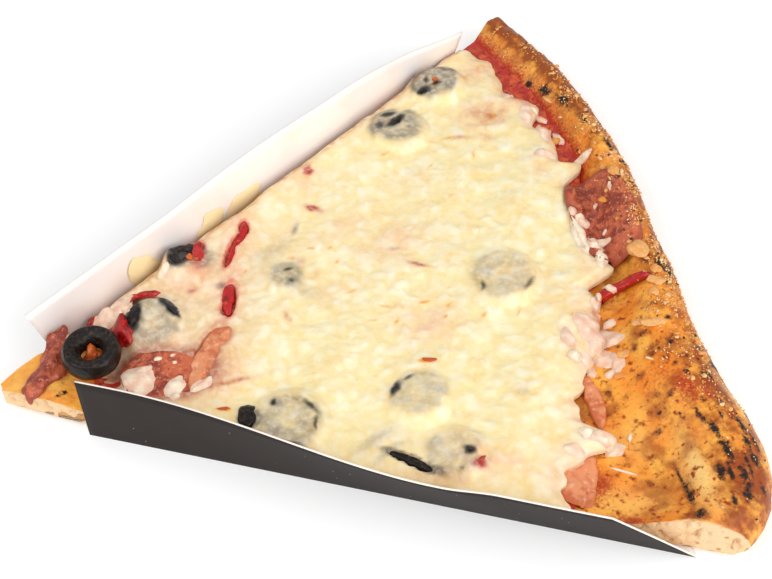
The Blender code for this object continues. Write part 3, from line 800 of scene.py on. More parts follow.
@dataclass
class BakedDough:
    """The base and its crust in one piece, with the marks of the oven painted on it, and a painted highlight along its
    back crust.
    """

    rows: tuple = (150, 330, 12)
    tip_rows_end: float = 0.16
    flat_rows_end: float = 0.27
    layer_start: float = 25.5
    crowding: float = 1.25
    char: tuple = (
        Spot(180, 73, 1.6, 1.1, 70), Spot(183, 66.5, 2.4, 1.2, 110), Spot(186, 58, 4.0, 1.3, 105),
        Spot(188, 46, 3.2, 0.9, 100), Spot(191, 33, 3.2, 1.0, 100), Spot(193, 27.5, 2.2, 1.6, 100),
        Spot(191.5, 17, 1.8, 0.9, 90), Spot(186.8, -14.5, 3.6, 2.8, 90), Spot(190.5, -8, 2.2, 1.0, 90),
        Spot(190.5, -27, 3.0, 0.8, 90), Spot(188.5, -38, 3.5, 0.9, 95), Spot(186.5, -51, 2.6, 1.4, 95),
        Spot(182, -55, 2.6, 1.8, 95, 0.8), Spot(184, -46, 2.0, 1.0, 95, 0.8), Spot(183, -71.5, 3.2, 1.2, 90),
        Spot(175.6, -71.5, 2.8, 1.1, 95), Spot(176, -78, 4.4, 1.5, 92), Spot(182.3, -77, 2.6, 1.0, 90),
        Spot(182, -81.5, 2.6, 1.3, 90), Spot(172, -83, 2.8, 1.4, 80), Spot(177, -86, 3.4, 1.6, 88),
        Spot(175.5, -90.5, 2.2, 1.4, 80), Spot(170.8, -92, 2.0, 1.0, 80), Spot(161.5, -92.6, 1.7, 1.5, 0),
        Spot(163, -85.5, 3.6, 0.7, 75), Spot(17.5, -6, 1.0, 0.8, 0), Spot(15.6, -6.8, 0.9, 0.7, 0),
        Spot(188.5, -62, 2.5, 0.9, 95), Spot(187.5, -68, 2.0, 0.9, 95), Spot(173.6, -66, 3.0, 0.6, 100, 0.9),
        Spot(179.4, -83, 3.4, 0.6, 86), Spot(184.6, -77, 3.4, 0.6, 92), Spot(178.6, -68, 2.4, 0.6, 94, 0.8),
        Spot(174, -84, 3.0, 0.7, 84), Spot(163.6, -80, 4.2, 0.5, 84, 0.9), Spot(180.6, -90, 2.6, 0.7, 80),
        Spot(186.4, -16.6, 2.6, 3.4, 70, 0.9), Spot(190, -44, 3.4, 0.7, 93, 0.9), Spot(180.5, -64, 3.0, 1.4, 95, 0.6),
    )
    flecks: tuple = (
        Spot(175, -49, 0.9, 0.7), Spot(171, -43, 0.9, 0.8), Spot(167.3, -54.6, 1.1, 0.8), Spot(154.6, -54, 1.1, 0.9),
        Spot(161, -58.4, 0.8, 0.8), Spot(170, -57, 0.8, 0.7), Spot(176.6, -62.4, 1.5, 0.8, 80),
        Spot(160.4, -70, 0.9, 0.7), Spot(161.3, -50.4, 1.2, 0.7, 60), Spot(159.6, -40.8, 1.2, 0.7),
        Spot(165.7, -34.8, 0.9, 0.6), Spot(173, -41, 1.7, 1.1), Spot(177.5, -41.5, 1.5, 1.8),
        Spot(166, -47, 1.0, 0.9), Spot(157.6, -47.6, 0.9, 1.1), Spot(164.6, -64, 1.0, 0.9), Spot(170.4, -63.6, 0.8, 1.1),
        Spot(155.6, -66.4, 0.8, 0.7), Spot(156.8, -77, 1.0, 0.8), Spot(168.6, -38.4, 0.9, 1.3), Spot(172, -35, 1.1, 0.9),
        Spot(150.6, -78.6, 0.8, 0.8), Spot(180, -34, 1.2, 0.9), Spot(166.4, -59.6, 0.7, 0.9), Spot(176.4, -52.6, 1.0, 1.2),
        Spot(178, 35, 1.1, 0.9), Spot(173.6, 54.6, 1.4, 1.0, 100), Spot(176.4, 24.6, 0.9, 0.8), Spot(181, 52, 1.0, 1.3),
    )
    red: tuple = (
        Spot(174.5, -57, 9, 4.4, 95, 0.62), Spot(178.5, -61, 4.5, 3.0, 90, 0.6), Spot(171, -50, 6, 4, 95, 0.4), Spot(183, -47, 3, 3, 0, 0.4),
        Spot(141, -73, 6.5, 7.5, 0, 0.9), Spot(148, -86, 5, 2, -35, 0.6), Spot(171, 62, 7, 3, -60, 0.5),
        Spot(178, 40, 6, 3, 95, 0.6), Spot(181, 28, 5, 3, 95, 0.5), Spot(168, -17, 4, 3, 0, 0.55),
        Spot(18, 10, 2.5, 2, 0, 0.4), Spot(28, 10, 3, 2.5, 0, 0.6), Spot(162, -30, 4, 3, 0, 0.5),
    )
    pale: tuple = (
        Spot(167.0, -80.5, 11, 2.9, 82, 1.0), Spot(176, 80, 6, 3.0, 125, 0.35), Spot(150, -80, 9, 5, -30, 0.3),
        Spot(157, -64, 7, 6, 0, 0.25), Spot(9, -2, 9, 6, 0, 0.35), Spot(186, -62, 9, 1.4, 96, 0.6), Spot(187, -80, 9, 1.6, 84, 0.5),
    )
    scorch: tuple = (Spot(177, -80, 15, 6.5, 86, 0.55), Spot(180, -58, 9, 7, 90, 0.4), Spot(187, -14, 8, 6, 90, 0.6))
    swell: tuple = (Spot(167.5, -80, 9.0, 2.8, 82, 1.3), Spot(176, -66, 5, 5, 0, 0.6), Spot(184, -12, 5, 4, 90, 0.9))
    crease: tuple = (Spot(163.4, -82, 10.5, 0.9, 80, 2.0), Spot(171.2, -76, 8.0, 0.8, 92, 1.1))

    def ray(self, u: np.ndarray, v: np.ndarray) -> tuple[np.ndarray, np.ndarray]:
        """The distance from the apex and the angle at each place of the block."""
        angle = mix(-FORM.half_angle, FORM.half_angle, v)
        reach = FORM.crust_reach(angle)
        foot = reach - FORM.rim_width(angle)
        tip = mix(FORM.tip_radius, self.layer_start, u / self.tip_rows_end)
        flat = mix(self.layer_start, foot, (u - self.tip_rows_end) / (self.flat_rows_end - self.tip_rows_end))
        outer = np.clip((1 - u) / (1 - self.flat_rows_end), 0, 1) ** self.crowding
        rim = reach - (reach - foot) * outer
        return np.where(u <= self.tip_rows_end, tip, np.where(u <= self.flat_rows_end, flat, rim)), angle

    def build(self, kitchen: Kitchen) -> None:
        """Shapes the block, adds the blisters, creases and pores, and paints it."""
        mesh = block(*self.rows)
        u, v, w = places_of(mesh).T
        radius, angle = self.ray(u, v)
        share = FORM.rim_share(radius, angle)
        plan = polar(radius, angle)
        x, y = plan[:, 0], plan[:, 1]
        exposed = np.maximum(1 - smooth(0.9, 1, share), 1 - smooth(22, 30, radius))
        blistered = 1 + 0.9 * smooth(-12, -4, angle) * (1 - smooth(0.6, 0.9, share))
        lumps = 0.45 * rough(plan, 7) + blistered * (0.26 * rough(plan, 2.7, 5) + 0.13 * rough(plan, 1.3, 9))
        marks = 0.35 * cover(self.char, x, y) + cover(self.swell, x, y) - cover(self.crease, x, y)
        top = FORM.dough_top(radius, angle) + exposed * (lumps + marks)
        bulge, at, spread = FORM.tip_bulge
        places = plan + FORM.outward(Side.BACK) * (bulge * bump(at, spread, radius) * smooth(0.5, 1, v))[:, None]
        inset = FORM.rim_foot_inset * (1 - w) ** 2 * smooth(0.86, 1, u)
        places -= polar(inset, angle)
        places[:, 2] = mix(FORM.dough_foot(radius, angle), top, w)
        belly = np.sin(np.pi * np.clip(w, 0, 1))
        pits = smooth(0.1, 0.4, rough(places, 2.1, 3)) * 1.5 + 0.35 * rough(places, 5, 2)
        on_front, on_back = (v < 1e-6), (v > 1 - 1e-6)
        places -= FORM.outward(Side.FRONT) * (on_front * belly * pits)[:, None]
        places -= FORM.outward(Side.BACK) * (on_back * belly * pits)[:, None]
        edge = smooth(0.97, 1, u)
        places += polar(edge * (0.35 * rough(places, 4, 8) + 0.18 * rough(places, 1.6, 4)), angle)
        move_to(mesh, places)
        side = w < 1 - 1e-6
        outside = (u > 1 - 1e-6) & side
        sauce_edge = FORM.crust_reach(angle) - FORM.sauce_margin(angle)
        wiped = np.exp(-np.clip(radius - sauce_edge - 3 * smooth(4, 12, angle), 0, 99) / 3.2) * smooth(-2, 6, angle)
        lumpy = rough(plan, 6, 21)
        outer = (1 - smooth(0.1, 0.42, share)) * mix(0.5, 0.75, smooth(-4, 4, angle))
        # Browner bands along the back crust, a little less brown where the painted highlight lies.
        band = 0.85 * bump(0.42, 0.12, share) + 0.4 * (1 - smooth(0.2, 0.4, share)) - 0.1 * bump(0.76, 0.16, share)
        back = smooth(8, 18, angle) * band
        middle = 0.3 * smooth(-10, -3, angle) * smooth(20, 12, angle) + 0.3 * smooth(14, 22, angle)
        front = 0.15 * (1 - smooth(0.3, 0.7, share)) * smooth(-8, -14, angle) + cover(self.scorch, x, y)
        halo = np.maximum(cover(self.char, x, y) ** 0.35 * 0.95, cover(self.flecks, x, y) ** 0.4 * 0.8)
        brown = np.maximum(outer + back + middle + front + 0.25 * lumpy, halo)
        brown = np.where(radius < 40, 0.0 + 0.2 * lumpy, brown)
        # Painted highlight: a pale stripe along the inner slope of the back crust, carried in the pale attribute.
        crest = 0.3 * bump(0.74, 0.12, share) * smooth(12, 22, angle)
        paint = {
            "brown": np.where(outside, 0.4 - 0.25 * smooth(-16, -24, angle), brown),
            "pale": np.maximum(cover(self.pale, x, y), crest),
            "speck": (smooth(-2, -8, angle) * 0.6 + 0.6) * mix(0.25, 1.0, smooth(30, 60, radius)),
            "red": np.maximum(cover(self.red, x, y), np.where(radius > 60, wiped, 0)) * ~side,
            "char": np.maximum(cover(self.char, x, y), 0.62 * cover(self.flecks, x, y)) * ~side,
            "crumb": ((on_front | on_back | (u < 1e-6)) & side).astype(float),
            "flour": np.where(outside, 0.75 * (1 - smooth(0.2, 0.7, w)), (w < 1e-6) * 0.8),
        }
        kitchen.serve("baked_dough", mesh, [BakedFinish().material()], "dough", ["dough"], paint)


@dataclass
class TomatoSauce:
    """The thin layer under the cheese, which shows as a strip along the back half of the crust."""

    rows: tuple = (110, 220, 2)
    start: float = 26.0
    ragged: float = 1.2
    film: float = 0.3

    def build(self, kitchen: Kitchen) -> None:
        """Spreads the sauce over the dough."""
        mesh = block(*self.rows)
        u, v, w = places_of(mesh).T
        angle = mix(-FORM.half_angle, FORM.half_angle, v)
        rim = polar(190 + 0 * angle, angle)
        wander = self.ragged * rough(rim, 9, 4) + 0.6 * rough(rim, 3, 6)
        spread = 3.6 * smooth(4, 12, angle) - 4.5 * smooth(-1, -6, angle) * smooth(-30, -26, angle)
        end = FORM.crust_reach(angle) - FORM.sauce_margin(angle) + wander + spread
        radius = mix(self.start, end, u)
        places = polar(radius, angle)
        lumps = 0.3 * rough(places, 3.5, 2) + 0.15 * rough(places, 1.5, 7)
        border = np.minimum(1, np.minimum((1 - u) * 60, np.minimum(v, 1 - v) * 60))
        lying = FORM.dough_top(radius, angle) + self.film * smooth(0, 0.03, 1 - u)
        top = np.maximum(FORM.sauce_foot + FORM.sauce_thickness, lying) + lumps * border
        places[:, 2] = mix(FORM.sauce_foot, top, w)
        move_to(mesh, places)
        kitchen.serve("cooked_tomato_sauce", mesh, [SauceFinish().material()], "sauce", ["tomato_sauce"])


@dataclass(frozen=True)
class OliveFacts:
    """A slice of olive in the cheese.

    Tilt leans it towards its heading, share is how much of a ring it is, veil is the thickness of the
    cheese over it, and bare lists the places, from its middle, where the cheese has run off it.
    """

    name: str
    place: tuple
    radius: float
    tilt: float
    heading: float
    share: float = 1.0
    veil: float = 0.4
    shade: float = 0.6
    bare: tuple = ()
    height: float = 3.4

    @property
    def seat(self) -> float:
        """Height of the middle of its underside."""
        return 8.9 + 0.5 * self.radius * math.sin(math.radians(self.tilt))

    @property
    def middle(self) -> tuple[float, float]:
        """Plan place of the middle of its upper face."""
        shift, heading = self.height * math.sin(math.radians(self.tilt)), math.radians(self.heading)
        return self.place[0] + shift * math.cos(heading), self.place[1] + shift * math.sin(heading)

    def crown(self, x: np.ndarray, y: np.ndarray) -> np.ndarray:
        """Height of the plane of its upper face."""
        tilt, heading = math.radians(self.tilt), math.radians(self.heading)
        run = (x - self.place[0]) * math.cos(heading) + (y - self.place[1]) * math.sin(heading)
        return self.seat + self.height / math.cos(tilt) - run * math.tan(tilt)

    def bared(self, x: np.ndarray, y: np.ndarray) -> np.ndarray:
        """How far the cheese has run off: 0 where it covers, and over about 1.2 where it is gone."""
        return cover(self.bare, x - self.place[0], y - self.place[1]) * 1.6


OLIVES = (
    OliveFacts("olive_back_middle", (131.7, 61.8), 8.5, 8, 60, veil=0.3, shade=1.0,
               bare=(Spot(-1.0, 6.8, 3.6, 1.4, 10, 0.75), Spot(-5.0, 2.2, 2.6, 1.8, 70, 0.6),
                     Spot(0.6, 3.0, 4.6, 1.6, 35, 1.0))),
    OliveFacts("olive_back_corner", (150.4, 77.8), 7.6, 13, 139, veil=0.35, shade=1.25,
               bare=(Spot(-5.6, -2.4, 2.6, 2.2, 40, 1.0), Spot(-0.6, -0.4, 2.2, 1.6, 0, 0.7),
                     Spot(3.4, 5.4, 3.4, 1.0, 130, 0.5), Spot(-3.0, 2.6, 2.0, 1.2, 70, 0.65))),
    OliveFacts("olive_by_crust", (143.1, -5.1), 8.6, 5, 120, veil=0.45, shade=0.5,
               bare=(Spot(-7.4, -2.4, 2.6, 0.9, 80, 0.62), Spot(5.0, -5.6, 3.6, 0.9, 40, 0.6))),
    OliveFacts("olive_front_wall", (72.4, -34.8), 8.2, 7, 200, veil=0.35, shade=0.75,
               bare=(Spot(-2.6, 5.8, 1.6, 1.1, 60, 0.75), Spot(6.6, 0.6, 4.6, 1.0, -60, 0.65),
                     Spot(6.2, -4.2, 3.6, 0.9, -105, 0.6), Spot(3.2, 4.4, 4.0, 0.7, -40, 0.3))),
    OliveFacts("olive_front_middle", (107.2, -38.1), 7.4, 10, 130, veil=0.35, shade=0.5,
               bare=(Spot(-5.4, 4.6, 3.6, 1.4, 48, 0.75), Spot(-1.0, 7.0, 3.0, 0.9, 10, 0.55))),
    OliveFacts("olive_front_corner", (110.6, -57.0), 6.4, 12, 150, veil=0.35, shade=0.55,
               bare=(Spot(3.4, -1.6, 2.0, 1.4, -50, 0.85), Spot(-0.4, -6.0, 1.8, 0.8, 20, 0.5))),
    OliveFacts("olive_near_tip", (44.3, 6.9), 7.6, 16, 250, veil=0.5, shade=0.75,
               bare=(Spot(-4.8, 3.0, 4.8, 2.6, 75, 1.3), Spot(5.8, 2.4, 4.8, 1.6, -65, 1.3))),
    OliveFacts("olive_centre_bit", (83.0, 12.7), 4.6, 8, 80, share=0.6, veil=0.3, shade=0.75,
               bare=(Spot(1.9, 2.2, 1.8, 0.8, 10, 0.62), Spot(1.4, -2.4, 1.3, 1.2, 40, 0.55))),
    OliveFacts("olive_back_bit", (57.5, 27.2), 6.0, 22, 30, share=0.62, veil=0.1, shade=0.6,
               bare=(Spot(0, 3.5, 5.0, 4.0, 40, 1.4), Spot(-2.5, -1, 4.0, 3.0, 60, 1.2))),
)
TIP_OLIVE = OliveFacts("olive_on_tip", (26.8, -0.6), 8.1, 0, 0, height=6.2)


@dataclass(frozen=True)
class Pocket:
    """Where the cheese closes over a topping and tints, but leaves windows open.

    Rise is how far the cheese lifts over the topping, depth how far it falls back in a window, and tint
    the colour that shows through around it.
    """

    around: Spot
    windows: tuple
    rise: float
    depth: float
    tint: tuple
    halo: float = 0.55


RED_TINT, MEAT_TINT = tone(226, 108, 84), tone(222, 150, 112)
POCKETS = (
    Pocket(Spot(66.8, 10.2, 7.5, 3.6, 74), (Spot(66.5, 9.4, 6.2, 1.9, 74, 1.5), Spot(65.2, 6.6, 2.6, 1.9, 60, 1.4)),
           1.3, 1.2, RED_TINT),
    Pocket(Spot(73.0, 29.5, 10.5, 3.6, 60), (Spot(76.4, 34.6, 2.8, 1.5, 80, 1.4), Spot(73.6, 30.4, 3.6, 1.3, 40, 1.5),
           Spot(70.0, 25.8, 4.2, 1.3, 62, 1.5)), 1.4, 1.0, RED_TINT),
    Pocket(Spot(60.6, 22.0, 4.0, 3.4, 60), (Spot(61.4, 29.0, 5.6, 2.2, 78, 1.4),), 0.9, 0.8, RED_TINT),
    Pocket(Spot(58.0, -10.6, 12.0, 6.5, 54), (Spot(55.6, -8.4, 11.0, 3.4, 56, 1.5), Spot(60.2, -3.4, 4.0, 3.2, 30, 1.4)),
           1.9, 1.2, MEAT_TINT),
    Pocket(Spot(45.0, -10.5, 15.0, 9.5, -18), (Spot(43.5, -10.0, 12.5, 7.0, -18, 1.6),), 1.0, 1.4, tone(170, 84, 60)),
    Pocket(Spot(100.4, -54.6, 9.5, 4.6, -43), (Spot(99.4, -56.2, 7.4, 1.2, -43, 1.4),), 1.6, 0.9, tone(58, 42, 34), 0.06),
    Pocket(Spot(63.0, -31.6, 3.6, 3.2, -25), (Spot(62.5, -31.7, 2.6, 2.3, -25, 1.5),), 0.7, 1.2, tone(120, 110, 96)),
)


@dataclass
class MoltenCheese:
    """The melted cheese: soft shreds run together, veils over the olives, and lobes over the crust."""

    rows: tuple = (290, 290, 5)
    start: float = 29.0
    edge: float = 9.3
    shreds: int = 1100
    hang: float = 2.6
    lobes: tuple = (
        (26.5, 2.2, 1.5), (19.3, 1.1, 4.4), (14.9, 1.3, 4.6), (10.0, 0.9, 7.0), (4.4, 2.2, -1.5), (-2.8, 1.2, 3.2),
        (-5.0, 1.0, -1.5), (-12.0, 1.7, 4.6), (-22.9, 1.1, 6.6), (-28.0, 1.4, -3.5), (-31.0, 1.2, 3.0),
    )
    pink: tuple = (
        Spot(117, 17, 14, 8, 10, 0.6), Spot(117, -14, 9, 7, 0, 0.75), Spot(105, 27, 12, 6, 20, 0.45),
        Spot(160, 62, 9, 6, 0, 0.5), Spot(160, -26, 5, 9, 0, 0.9), Spot(154, -38, 5, 9, 0, 0.8),
        Spot(147, -54, 5, 9, 0, 0.7), Spot(137, -70, 8, 8, -30, 0.9), Spot(165, 82, 9, 5, 30, 0.8),
        Spot(174, 66, 5, 10, 15, 0.9), Spot(178, 50, 5, 9, 10, 0.9), Spot(62, 14, 9, 5, 10, 0.5),
        Spot(75, 42, 9, 5, 30, 0.6), Spot(70, 20, 6, 6, 0, 0.5), Spot(40, -2, 8, 4, 0, 0.6),
        Spot(98, 50, 7, 6, 0, 0.6), Spot(32, 14, 7, 5, 0, 0.8), Spot(57, -17, 9, 5, 20, 0.6),
        Spot(53, 18, 7, 5, 20, 0.6), Spot(168, -8, 4, 7, 0, 0.6), Spot(120, -62, 13, 5, -25, 0.6),
        Spot(96, 6, 8, 5, 0, 0.3), Spot(60, 34, 8, 4, 30, 0.5), Spot(169, 33, 4, 6, 0, 0.5), Spot(84, 30, 8, 6, 0, 0.3),
        Spot(128, 40, 10, 5, 0, 0.25), Spot(150, -12, 6, 8, 0, 0.3), Spot(50, -3, 7, 4, 0, 0.7), Spot(148, 88, 14, 3, 30, 0.5),
    )
    amber: tuple = (
        Spot(161, 60, 6.5, 4.2, 10, 1.0), Spot(158, 51, 2.4, 1.8, 0, 0.6), Spot(150, 53, 4, 1.0, -15, 0.6),
        Spot(159, 79, 4, 1.2, 30, 0.4), Spot(90, 17, 2.6, 1.8, 0, 0.55), Spot(92, 12, 2.4, 1.4, 30, 0.4),
        Spot(113, -7, 3.0, 0.9, -30, 0.4), Spot(104, -62, 9, 1.8, -28, 0.45), Spot(59, -19, 7, 0.8, 5, 1.2),
    )
    orange: tuple = (
        Spot(92.8, 21.2, 0.8, 0.43, -10), Spot(98.5, 19.9, 0.6, 0.43, 60), Spot(98.9, 14.9, 0.7, 0.43, 20),
        Spot(107.9, -5.6, 1.7, 0.43, -30, 1.1), Spot(109.1, -11.2, 1.3, 0.43, 60, 1.1), Spot(124.3, -10.2, 0.9, 0.50, 50),
        Spot(122.4, -13.4, 0.6, 0.43, 0), Spot(118.7, -6.6, 1.4, 0.36, -20, 1.1), Spot(155.8, -23.5, 0.7, 0.50, 0),
        Spot(166.8, 83.2, 1.7, 0.65, 20), Spot(159.3, 78.7, 1.4, 0.58, 10), Spot(145.6, 54, 1.9, 0.43, 5),
        Spot(124.9, 52.4, 1.3, 0.36, 20, 0.8), Spot(86.5, 19.5, 0.9, 0.58, 0, 0.9), Spot(73.4, 19.1, 0.6, 0.43, 0),
        Spot(70.5, 13.8, 1.0, 0.43, -20, 0.9), Spot(102.6, -8.8, 1.7, 0.36, -10, 0.8), Spot(35, 17, 1.2, 0.86, 0, 0.8),
        Spot(133, -16, 1.2, 0.36, 40, 0.8), Spot(112.5, -26.6, 1.9, 0.65, -15, 1.4), Spot(57, -26.5, 1.9, 0.58, -15, 1.2),
        Spot(163, 60, 1.6, 0.50, 70, 0.7), Spot(151, 45, 1.4, 0.36, 70, 0.8), Spot(139, 30, 0.9, 0.43, 20, 0.8),
        Spot(142.6, -17.6, 1.0, 0.43, 70, 0.8), Spot(100, 3, 1.7, 0.36, 10, 0.7), Spot(81, -22, 1.6, 0.36, 0, 0.5),
        Spot(66, 3.5, 1.2, 0.43, 20, 0.7), Spot(137, 44, 0.9, 0.36, 20, 0.7), Spot(127, -4, 0.7, 0.36, 0, 0.6),
    )
    red: tuple = (
        Spot(100.8, 54, 2.4, 1.4, 80, 1.2), Spot(97.8, 37.2, 2.6, 1.1, -50, 1.2), Spot(115.4, -62, 2.4, 1.2, 10, 0.9),
        Spot(121, 7, 3.2, 0.6, -30, 0.9), Spot(57, 16, 1.5, 1.0, 0, 0.5), Spot(163, -25, 1.3, 3.4, 0, 0.7),
        Spot(117, 14, 2.6, 0.6, -20, 0.5), Spot(80.5, -0.7, 0.8, 2.0, 0, 0.5), Spot(152, -31, 0.8, 4, 10, 0.4),
    )
    grey: tuple = (
        Spot(90.7, 30.4, 2.2, 0.9, 60, 0.8), Spot(73, 49, 4.5, 1.6, 20, 0.6), Spot(134, -44, 2.2, 1.4, 0, 0.4),
        Spot(92, -47, 6, 1.8, 20, 0.4), Spot(58, 33, 4, 3, 0, 0.3), Spot(86, 8, 7, 3, -30, 0.35), Spot(62, 27, 7, 5, 0, 0.3),
        Spot(82, 24, 8, 3, 20, 0.3), Spot(65.5, 15.2, 1.4, 1.2, 0, 1.3), Spot(94.4, -51.8, 4.4, 1.2, 20, 0.5),
    )
    base: tuple = tone(250, 227, 168)
    rich: tuple = tone(250, 219, 152)
    milk: tuple = tone(254, 242, 212)
    thin: tuple = tone(230, 202, 158)
    blush: tuple = tone(240, 178, 148)
    toast: tuple = tone(206, 128, 70)
    oil: tuple = tone(240, 164, 36)
    ripe: tuple = tone(182, 30, 26)
    ash: tuple = tone(128, 118, 110)
    ink: tuple = tone(38, 32, 31)

    def outline(self, angle: np.ndarray) -> tuple[np.ndarray, np.ndarray]:
        """Where the cheese starts and ends along each ray."""
        start = self.start + 2.5 * np.sin(angle / 3) + 3 * smooth(12, 30, -angle)
        start = start - 4.5 * bump(24, 5, angle) + 1.5 * np.sin(angle * 1.3)
        end = FORM.crust_reach(angle) - FORM.cheese_margin(angle)
        for at, spread, reach in self.lobes:
            end = end + reach * (1 - smooth(0.3, 1.9, np.abs(angle - at) / spread))
        ring = polar(180 + 0 * angle, angle)
        return start, end + 1.2 * rough(ring, 6, 3) + 0.7 * rough(ring, 2.6, 5) + 0.35 * rough(ring, 1.2, 7)

    def laid_shreds(self, x: np.ndarray, y: np.ndarray) -> np.ndarray:
        """How much each place stands out as a half melted shred."""
        dice = np.random.default_rng(7)
        found = np.zeros_like(x)
        for _ in range(self.shreds):
            radius, angle = 180 * math.sqrt(dice.uniform(0.02, 1)), dice.uniform(-FORM.half_angle, FORM.half_angle)
            at = polar(np.array(radius), np.array(angle))
            heading, grown = dice.uniform(0, 180), dice.uniform(0, 1) ** 3
            length, width = dice.uniform(1.2, 3.0) + 2.2 * grown, dice.uniform(0.9, 1.7) + 1.6 * grown
            shred = Spot(at[0], at[1], length, width, heading, dice.uniform(0.3, 1))
            near = np.hypot(x - at[0], y - at[1]) < 2.4 * length
            found[near] = np.maximum(found[near], shred.cover(x[near], y[near]))
        return found

    def build(self, kitchen: Kitchen) -> None:
        """Pours the cheese, drapes it over crust and olives, and paints what shows through."""
        mesh = block(*self.rows)
        u, v, w = places_of(mesh).T
        angle = mix(-FORM.half_angle, FORM.half_angle, v)
        start, end = self.outline(angle)
        radius = mix(start, end, u)
        plan = polar(radius, angle)
        turn = np.radians(FORM.half_angle)
        from_front = radius * np.sin(turn + np.radians(angle))
        from_back = radius * np.sin(turn - np.radians(angle))
        inset = (0.5 + 0.8 * rough(plan, 7, 12)) * smooth(6, 0, from_back)
        hang = self.hang * smooth(84, 104, radius) * smooth(166, 150, radius) + 0.5 * rough(plan, 6, 15)
        plan -= FORM.outward(Side.BACK) * inset[:, None]
        plan += FORM.outward(Side.FRONT) * (hang * smooth(5, 0, from_front))[:, None]
        x, y = plan[:, 0], plan[:, 1]
        near = np.minimum(np.minimum(from_front * 1.2 + 1, from_back * 0.8), np.minimum(radius - start, (end - radius) * 0.9))
        full = np.sin(np.clip(near / 5.5, 0, 1) * np.pi / 2)
        strands = self.laid_shreds(x, y)
        broad, mid, soft = rough(plan, 8, 1), rough(plan, 3.6, 6), rough(plan, 2.0, 2)
        relief = 0.45 * broad + 0.36 * mid + 0.16 * soft + 0.34 * strands
        top = mix(self.edge, FORM.cheese_height(x, y), full) + relief * (0.3 + 0.7 * full)
        lying = FORM.dough_top(radius, angle) + 0.45 + 0.35 * full + (0.3 * mid + 0.3 * strands) * (0.4 + 0.6 * full)
        top = np.maximum(top, np.where(radius > 60, lying, 0))
        top = np.where(radius < 45, mix(lying + 0.3, top, smooth(28, 45, radius)), top)
        colour = self.colours(x, y, broad, mid, soft, strands, full)
        brink = smooth(3.0, 0.0, from_back) * smooth(-0.3, 0.3, soft) * 0.8
        colour = mix(colour, np.array(self.toast), brink[:, None])
        milky = np.ones_like(x)
        for pocket in POCKETS:
            top, colour = self.close_over(pocket, x, y, top, colour, soft)
        for olive in OLIVES:
            top, colour, film = self.veil(olive, x, y, top, colour, mid, soft)
            milky = milky * film
        places = plan.copy()
        places[:, 2] = mix(np.minimum(FORM.cheese_foot, top - 0.8), top, w)
        move_to(mesh, places)
        finish = CheeseFinish().melted()
        paint = {"colour": colour, "milky": milky}
        kitchen.serve("molten_cheese", mesh, [finish], "cheese", ["melted_cheese"], paint)

    def colours(self, x, y, broad, mid, soft, strands, full) -> np.ndarray:
        """The linear colour of the cheese at each place."""

        def toward(colour: np.ndarray, target: tuple, share: np.ndarray) -> np.ndarray:
            return mix(colour, np.array(target), np.clip(share, 0, 1)[:, None])

        colour = np.tile(np.array(self.base), (len(x), 1))
        colour = toward(colour, self.rich, smooth(0.0, 0.5, broad + 0.15 * smooth(110, 150, x)) * 0.7)
        # Greyer cream towards the cheese's edges, and towards the tip on the back half.
        colour = toward(colour, self.thin, (1 - full) * 0.6 + smooth(95, 55, x) * 0.8 * smooth(-14, 6, y))
        colour = toward(colour, self.milk, smooth(0.25, 0.75, strands) * 0.6 + 0.4 * smooth(0.0, 0.5, mid) + 0.2 * smooth(0.0, 0.5, soft))
        blush = cover(self.pink, x, y) * (0.8 + 0.6 * mid)
        colour = toward(colour, self.blush, blush * (1 - 0.4 * strands) * 0.85)
        colour = toward(colour, self.toast, cover(self.amber, x, y) * (0.8 + mid))
        colour = toward(colour, self.ash, cover(self.grey, x, y))
        astray, aside = x + 1.0 * soft, y + 1.0 * mid
        colour = toward(colour, self.ripe, cover(self.red, astray, aside) * (1.1 + mid))
        return toward(colour, self.oil, cover(self.orange, astray, aside) * (1.1 + mid))

    def close_over(self, pocket: Pocket, x, y, top, colour, soft) -> tuple[np.ndarray, np.ndarray]:
        """Closes the cheese over a topping, but for its windows.

        Returns:
            The new heights and the new colours.
        """
        around = pocket.around.cover(x, y)
        window = np.clip(cover(pocket.windows, x, y) + 0.14 * soft * around, 0, 1.4)
        open_share = smooth(0.4, 0.8, window)
        top = top + pocket.rise * around * (1 - open_share) - pocket.depth * open_share
        tint = np.clip(around * pocket.halo + smooth(0.1, 0.5, window), 0, 1)
        return top, mix(colour, np.array(pocket.tint), (tint * 0.8)[:, None])

    def veil(self, olive: OliveFacts, x, y, top, colour, mid, soft) -> tuple[np.ndarray, np.ndarray, np.ndarray]:
        """Drapes the cheese over one olive and darkens it where it is thin.

        Returns:
            The new heights, the new colours, and how much more milky than the rest each place became.
        """
        off = np.hypot(x - olive.middle[0], y - olive.middle[1])
        hole = olive.radius * 0.42
        hollow = (1 - smooth(hole - 2.2, hole + 0.4, off)) * (1 if olive.share >= 1 else 0)
        ring = 1 - smooth(olive.radius - 0.9, olive.radius + 3.4, off)
        over = np.maximum(top, olive.crown(x, y) + olive.veil * (1.5 + 0.8 * mid + 0.4 * soft) + 0.1 - 0.3 * hollow)
        top = mix(top, over, ring)
        bare = olive.bared(x + 0.7 * soft, y + 0.7 * mid) * (1 - 0.7 * smooth(olive.radius, olive.radius + 1.2, off))
        gone = smooth(1.1, 1.4, bare)
        top = mix(top, np.minimum(top, olive.crown(x, y) - 0.5), gone)
        inside = (1 - smooth(olive.radius - 2.6, olive.radius + 1.2, off)) * (1 - 0.45 * hollow)
        shade = np.clip(inside * olive.shade * (0.9 + 0.5 * mid + 0.3 * soft), 0, 1)
        colour = mix(colour, np.array(self.ash), (shade * 0.82)[:, None])
        lopsided = smooth(-0.5, 0.5, mid + 0.6 * np.sin(np.arctan2(y - olive.place[1], x - olive.place[0]) + olive.place[0]))
        rim = bump(olive.radius - 0.1, 1.3, off) * olive.shade * 0.6 * lopsided
        dark = np.clip(np.maximum(rim, smooth(0.1, 1.1, bare)), 0, 1)
        colour = mix(colour, np.array(self.ink), dark[:, None])
